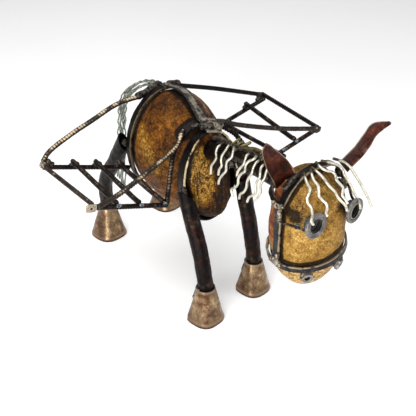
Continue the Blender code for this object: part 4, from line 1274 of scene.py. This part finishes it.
def wire(shape, kinks, seed, radius=WIRE, heated=0.014):
    """A bent wire through its kinks, with tight but rounded bends, browned near its root."""
    sides = 10
    kinks = [np.array(k, float) for k in kinks]
    corners = [kinks[0]]
    for before, here, after in zip(kinks, kinks[1:], kinks[2:]):
        corners += [here + (before - here) * 0.20, here + (after - here) * 0.20]
    corners.append(kinks[-1])
    path = even(smooth_path(corners, 5), 0.0009)
    r = radius * (1 + 0.05 * wobble(path, 250, seed))
    r[[0, -1]] *= 0.8
    rows = round_section(path, (0.31, 0.23, 0.92), r[:, None], sides)
    shape.add(rows, dark=1 - eased(lengths(path), 0.25 * heated, heated)[:, None])


def zigzag(stations, sway, waves, amplitude):
    """Corners of a kinked wire: a smooth route pushed to and fro along sway."""
    steps = max(2, round(2 * waves / (len(stations) - 1)))
    route = smooth_path(stations, steps)
    side = np.array(Vector(sway).normalized())
    swing = [(-1) ** i * min(1.0, 3 * i / len(route)) for i in range(len(route))]
    return route - side * (amplitude * np.array(swing))[:, None]


def make_mane():
    right = Shape()
    for index, kinks in enumerate(MANE_RIGHT):
        out = [-3.5] + [-(13 + 10 * min(1, k / 3)) for k in range(1, len(kinks))]
        wire(right, mm(*((x, y, z) for x, (y, z) in zip(out, kinks))), index)
    right.make("mane_right", "wire", "bright_wire", smooth=60)

    left = Shape()
    crest = smooth_path(NECK, 4) + np.array((0.0032, 0.0, NECK_R + WIRE + 0.0009))
    for index, drop in enumerate(LEFT_LENGTHS):
        place = (index + 0.6) / len(LEFT_LENGTHS) * (len(crest) - 1)
        root = crest[int(place)] + (crest[int(place) + 1] - crest[int(place)]) * (place % 1)
        stations = (
            root,
            root + (0.012, -0.002, -0.004),
            root + (0.021, 0.000, -0.014 - 0.10 * drop),
            root + (0.021 + 0.16 * drop, 0.004 + 0.10 * drop, -drop),
        )
        wire(left, zigzag(stations, (0.35, -0.9, 0.0), 3, 0.0026), index + 20)
    left.make("mane_left", "wire", "bright_wire", smooth=60)


def make_forelock():
    shape = Shape()
    for index, kinks in enumerate(FORELOCK):
        wire(shape, kinks, index + 40)
    shape.make("forelock", "wire", "bright_wire", smooth=60)


def make_tail():
    """Six wires in two layers of three from the top of the rear hoop, arching back and hanging
    loose."""
    behind = REAR_HOOP["y"] + REAR_HOOP["bar"][0] / 2 + 0.0006
    root = Vector((0.0, behind, REAR_HOOP["z"] + REAR_HOOP["half"][1] - 0.0050))
    shape = Shape()
    for i in range(6):
        column = i % 3 - 1
        layer = i // 3 - 0.5
        apart = TAIL_PITCH * Vector((column, layer, layer))
        stations = (
            root + apart + Vector((0.0, 0.0045, 0.0)),
            root + apart + Vector((0.0, 0.0180, 0.0)),
            root + 1.2 * apart + Vector((-0.005, 0.060, -0.014)),
            root + 1.3 * apart + Vector((-0.011, 0.106, -0.056)),
            root + 1.3 * apart + Vector((-0.014, 0.117, -0.122)),
            root + 2.0 * apart + Vector((-0.020, 0.124, -0.205 - 0.018 * (i % 3))),
        )
        route = zigzag(stations, (1.0, 0.5, 0.2), 11 + 2 * (i % 4), 0.0028 * (1 if i % 2 else -1))
        wire(shape, route, i + 60, TAIL_WIRE, 0.02)
    shape.make("tail", "tail_wire", "grey_wire", smooth=60)


# ---------------------------------------------------------------- welds


def bead(shape, points, radius, seed, ripples=None, rough=1.0):
    """A lumpy run of weld through points. ripples is how far apart its ripples are."""
    points = np.array([list(p) for p in points], float)
    points[0] -= unit(points[1] - points[0]) * radius * 0.6
    points[-1] += unit(points[-1] - points[-2]) * radius * 0.6
    path = even(points if len(points) < 3 else smooth_path(points, 6), max(0.0004, radius / 7))
    s = lengths(path)
    dome = np.sqrt(np.clip(np.minimum(s, s[-1] - s) / (radius * 0.9), 0.01, 1))
    if ripples:
        dome = dome * (1 - 0.15 * np.abs(np.cos(np.pi * s / ripples)))
    dome = dome[:, None]
    rows = round_section(path, (0.4, 0.3, 0.9), radius * dome, 18)
    out = (rows - path[:, None]) / (radius * dome)[..., None]
    bumps = 0.34 * wobble(rows, 0.42 / radius, seed) + 0.16 * wobble(rows, 1.5 / radius, seed + 1)
    rows = rows + out * (rough * radius * bumps * dome)[..., None]
    # Painted highlight: the bead is lighter on its upper side.
    shape.add(rows, worn=np.clip(0.45 + wobble(rows, 420, seed) * 1.3 + 0.4 * out[..., 2], 0, 1))


# Beads along the harness: their points and radii.
BURNT_WELDS = mm(
    (((-12, 24, 288), (-4, 18, 289), (3, 12, 287.5)), 5),
    (((-20, 32, 286), (-13, 26, 290)), 4.2),
    (((12, 24, 288), (26, 28, 283), (36, 33, 279)), 5),
    (((-10, -4, 258), (-3, -8, 266), (6, -12, 269)), 6),
    (((-2, 4, 274), (2, -12, 277), (2, -34, 279)), 4.2),
    (((-2, -34, 281.5), (-3, -80, 288), (-1, -132, 290)), 4),
    (((4, -40, 279), (6, -90, 287)), 4.8),
    (((-11, -45, 272), (-12, -70, 273), (-10, -100, 280)), 4.5),
    (((-14, -40, 262), (-14.5, -62, 262)), 5.2),
    (((-13.5, -80, 266), (-14, -94, 268), (-12.5, -112, 273)), 4.8),
    (((-13, -66, 257), (-12, -84, 259)), 4),
    (((-12.5, -122, 272), (-12.5, -138, 275)), 5),
    (((-16.8, -149, 278.5), (-16, -155, 279.5)), 3.4),
    (((16.8, -149, 278.5), (16, -155, 279.5)), 3.4),
    (((-11, -151, 287), (0, -152.5, 290), (11, -151, 287)), 3),
    (((-46, 145, 301), (-34, 144, 304), (-18, 143, 308.5)), 5),
    (((-12, 146, 308.5), (-2, 154, 305.5), (4, 162, 304)), 4.6),
    (((10, 142, 310.5), (22, 144, 307.5), (34, 144, 303.5)), 4.4),
    (((201, 1, 233), (205, -3.5, 231.5)), 5.6),
    (((201, 149, 239), (206, 148, 236)), 5.2),
    (((-42, -201, 298.5), (-35, -204, 308.5), (-26, -206, 316.5)), 4.2),
    (((50, -204, 290), (44, -206, 304)), 4.2),
    (((-30, 40, 279), (-36, 40, 274)), 4.2),
    (((-70, 150, 230), (-71.5, 144, 226)), 5.5),
    (((70, 150, 230), (71.5, 144, 226)), 5.5),
    (((-50, 12, 202), (-51.5, 8, 190)), 4.5),
    (((50, 12, 202), (51.5, 8, 190)), 4.5),
)
DULL_WELDS = mm(
    (((2, 22, 290), (8, 12, 288.5), (9, 2, 286)), 4.6),
    (((-4, 34, 293), (4, 28, 292), (14, 22, 289.5)), 4.4),
    (((0, 138, 312), (2, 128, 313)), 4),
)
GREY_WELDS = mm(
    (((-30, 40.5, 281.2), (-31.2, 39.8, 280)), 2.2),
    (((-14, -69, 269), (-15, -72, 263)), 2.6),
    (((-206, 150, 234), (-213, 149, 230.5)), 5.8),
    (((-212, 146, 233), (-210, 143, 228)), 4.4),
    (((-53.5, -212.5, 283), (-55.5, -203, 281), (-55.5, -196, 283)), 3.6),
    (((-56, -210, 278), (-56.5, -211, 270), (-56, -211, 262)), 3),
    (((54.5, -212, 284), (57, -204, 281)), 3.6),
    (((58, -209, 278), (59.5, -208, 270)), 3),
)
# Rods and scraps laid across the crest of the neck, with their radii.
CREST_RODS = mm(
    (((-7.5, -50, 283), (7, -56, 290.5)), 2.1),
    (((-8.5, -56, 282), (12, -66, 292)), 2.4),
    (((-6, -44, 284), (9, -45, 290)), 1.9),
    (((-4, -64, 285), (-2, -79, 292.5), (1, -95, 296), (4, -108, 294)), 2.6),
    (((-6, -112, 290), (9, -118, 295)), 1.9),
)
WELD_STEP = Vector((0.0028, 0.0, 0.0))


def weld_tray(side, blued, burnt):
    """Beads where the bars from front to rear meet the cross bars."""
    for name, (x_rear, x_front, rear_seat, _) in LONG_BARS[side].items():
        inset = 0.0075 if name == "outer_edge" else 0.0
        x_front -= inset
        x_rear -= inset
        spot = mirrored((x_front, TRAY_FRONT - ROD * 0.6, tray_level(side, x_front) + 0.0030), side)
        bead(blued, (spot - WELD_STEP, spot + WELD_STEP), 0.0028, x_front * 90 + side)
        up = 0.0040 if rear_seat >= 0 else -0.0040
        spot = mirrored((x_rear, TRAY_REAR + 0.001, tray_level(side, x_rear) + up), side)
        bead(burnt, (spot - 2.4 * WELD_STEP, spot + 2.4 * WELD_STEP), 0.0042, x_rear * 70 + side)
        high = spot + Vector((0, 0.001, up))
        bead(burnt, (high - 0.6 * WELD_STEP, high + 0.6 * WELD_STEP), 0.0050, x_rear * 50 + side)


def weld_halter(side, grey, dull):
    """Beads from the cheek bar and from the nostril's nut to the noseband."""
    x, y, low = side * (CHEEK[side] + 0.003), JUNCTION[1], noseband_level(side)
    run = ((x, y - 0.009, low + 0.002), (x, y + 0.001, low + 0.006), (x, y + 0.008, low + 0.003))
    bead(grey, run, 0.0038, 8.0 + side)
    bead(grey, ((x, y - 0.003, low + 0.006), (x, y - 0.003, low + 0.016)), 0.0026, 3.0 + side, 0.003)
    nut = mirrored(NOSTRILS[side][0], side)
    for across, up, fat in ((-5.5, 0.55, 3.0), (5.0, 0.60, 3.2), (0.0, 0.95, 2.6), (-6.0, -0.3, 2.4)):
        top = nut + Vector((across / 1000, 0.0010, NOSTRIL_R * up))
        bead(dull, (top, top + Vector((0, 0.003, 0.004))), fat / 1000, 5.0 + side + across * 0.9)


def weld_hoof(leg, blued):
    """Beads down the hoof's seam and round the leg at its top."""
    side, (x, y), *_, (rim, height), seam, _ = leg
    turn = math.radians(seam)

    def around(angle, radius, level):
        way = Vector((math.cos(turn + angle), math.sin(turn + angle), 0.0))
        return mirrored((x, y, 0.0), side) + way * radius + Vector((0, 0, level))

    low = around(0, HOOF_TOP_R + 0.30 * (rim - HOOF_TOP_R), height * 0.72)
    bead(blued, (around(0, HOOF_TOP_R - 0.001, height - 0.001), low), 0.0015, turn, 0.0024)
    ring = [around(angle, LEG_R + 0.0014, height - 0.001) for angle in (-0.7, -0.3, 0.1, 0.5)]
    bead(blued, ring, 0.0019, turn + 2)


def make_welds():
    grey, blued, burnt, brass, dull = (Shape() for _ in range(5))
    for shape, runs, fat, pace, first, rough in (
        (burnt, BURNT_WELDS, 1, 2.3, 0, 1.3),
        (dull, DULL_WELDS, 1, 1.9, 30, 1.2),
        (grey, GREY_WELDS, 0.92, 1.7, 50, 0.45),
        (brass, CREST_RODS, 1, 1.3, 90, 0.35),
    ):
        for index, (points, radius) in enumerate(runs):
            bead(shape, points, radius * fat, index * pace + first, rough=rough)
    for side in SIDES:
        weld_tray(side, blued, burnt)
        weld_halter(side, grey, dull)
    # The foot of the right eye's brace.
    tip = Vector((-0.0478, -0.2345, 0.2660))
    bead(blued, (tip, tip + Vector((-0.002, -0.001, -0.004))), 0.0030, 1.0)
    for leg in LEGS.values():
        weld_hoof(leg, blued)

    grey.make("grey_welds", "weld", "dark_steel", smooth=60, dressing=True)
    blued.make("blued_welds", "blue_weld", "dark_steel", smooth=60, dressing=True)
    burnt.make("burnt_welds", "dark_weld", "dark_steel", smooth=60, dressing=True)
    dull.make("dull_welds", "dull_weld", "dark_steel", smooth=60, dressing=True)
    brass.make("crest_rods", "brass_wire", "bright_wire", smooth=60, dressing=True)


# ---------------------------------------------------------------- stage

MIDDLE = (0.0, 0.0, 0.18)
# Lamps: place, aim, size and watts.
LAMPS = {
    "key": ((-1.35, -1.15, 0.85), MIDDLE, (1.1, 1.0), 28),
    "fill": ((1.2, -1.5, 0.8), MIDDLE, (1.2, 1.0), 11),
    "top": ((-0.3, 0.3, 2.1), MIDDLE, (1.5, 1.5), 28),
    "low_strip": ((-1.25, -0.70, 0.16), (0.0, 0.0, 0.10), (0.34, 0.5), 5.5),
}
CAMERA = dict(
    target=(-0.0141, 0.0, 0.1596), azimuth=-35.85, elevation=32.0, distance=1.1995, lens=67.6, sensor=36.0
)
WHITE = (1.0, 1.0, 1.0, 1.0)


def add_object(name, data):
    obj = bpy.data.objects.new(name, data)
    bpy.context.scene.collection.objects.link(obj)
    return obj


def make_floor():
    mesh = bpy.data.meshes.new("floor")
    mesh.from_pydata([(x, y, 0.0) for x, y in ((-6, -6), (6, -6), (6, 6), (-6, 6))], [], [(0, 1, 2, 3)])
    paint = Paint("pale_floor", roughness=0.9, specular=0.1)
    paint.put("Base Color", paint.ramp(paint.noise(3, 2), (0.0, "f4f4f4"), (1.0, "f9f9f9")))
    paint.put("Emission Color", WHITE)
    paint.put("Emission Strength", 0.22)
    mesh.materials.append(paint.material)
    add_object("floor", mesh)


def make_lights():
    world = bpy.data.worlds.new("studio")
    world.use_nodes = True
    world.node_tree.nodes["Background"].inputs["Color"].default_value = WHITE
    world.node_tree.nodes["Background"].inputs["Strength"].default_value = 0.30
    bpy.context.scene.world = world
    for name, (place, aim, size, watts) in LAMPS.items():
        data = bpy.data.lights.new(name, "AREA")
        data.shape = "RECTANGLE"
        data.size, data.size_y = size
        data.energy = watts
        lamp = add_object(name, data)
        lamp.location = Vector(place)
        lamp.rotation_euler = (Vector(aim) - Vector(place)).to_track_quat("-Z", "Y").to_euler()


def make_camera():
    data = bpy.data.cameras.new("camera")
    data.sensor_width = CAMERA["sensor"]
    data.lens = CAMERA["lens"]
    camera = add_object("camera", data)
    azimuth, elevation = math.radians(CAMERA["azimuth"]), math.radians(CAMERA["elevation"])
    level = math.cos(elevation)
    back = Vector((math.sin(azimuth) * level, -math.cos(azimuth) * level, math.sin(elevation)))
    camera.location = Vector(CAMERA["target"]) + SHIFT + back * CAMERA["distance"]
    camera.rotation_mode = "QUATERNION"
    camera.rotation_quaternion = (-back).to_track_quat("-Z", "Y")
    bpy.context.scene.camera = camera
    bpy.context.scene.view_settings.view_transform = "Standard"


make_harness()
make_withers_plate()
for side in SIDES:
    make_tray(side)
make_corner_plate()
make_legs()
make_neck()
make_halter()
make_stones()  # after the bars whose lines their painted shade follows
for side, where in SIDES.items():
    make_collar(side, where)
    make_bracket(side, where)
    make_nostril(side, where)
make_ears()
make_mane()
make_forelock()
make_tail()
make_welds()
make_floor()
make_lights()
make_camera()
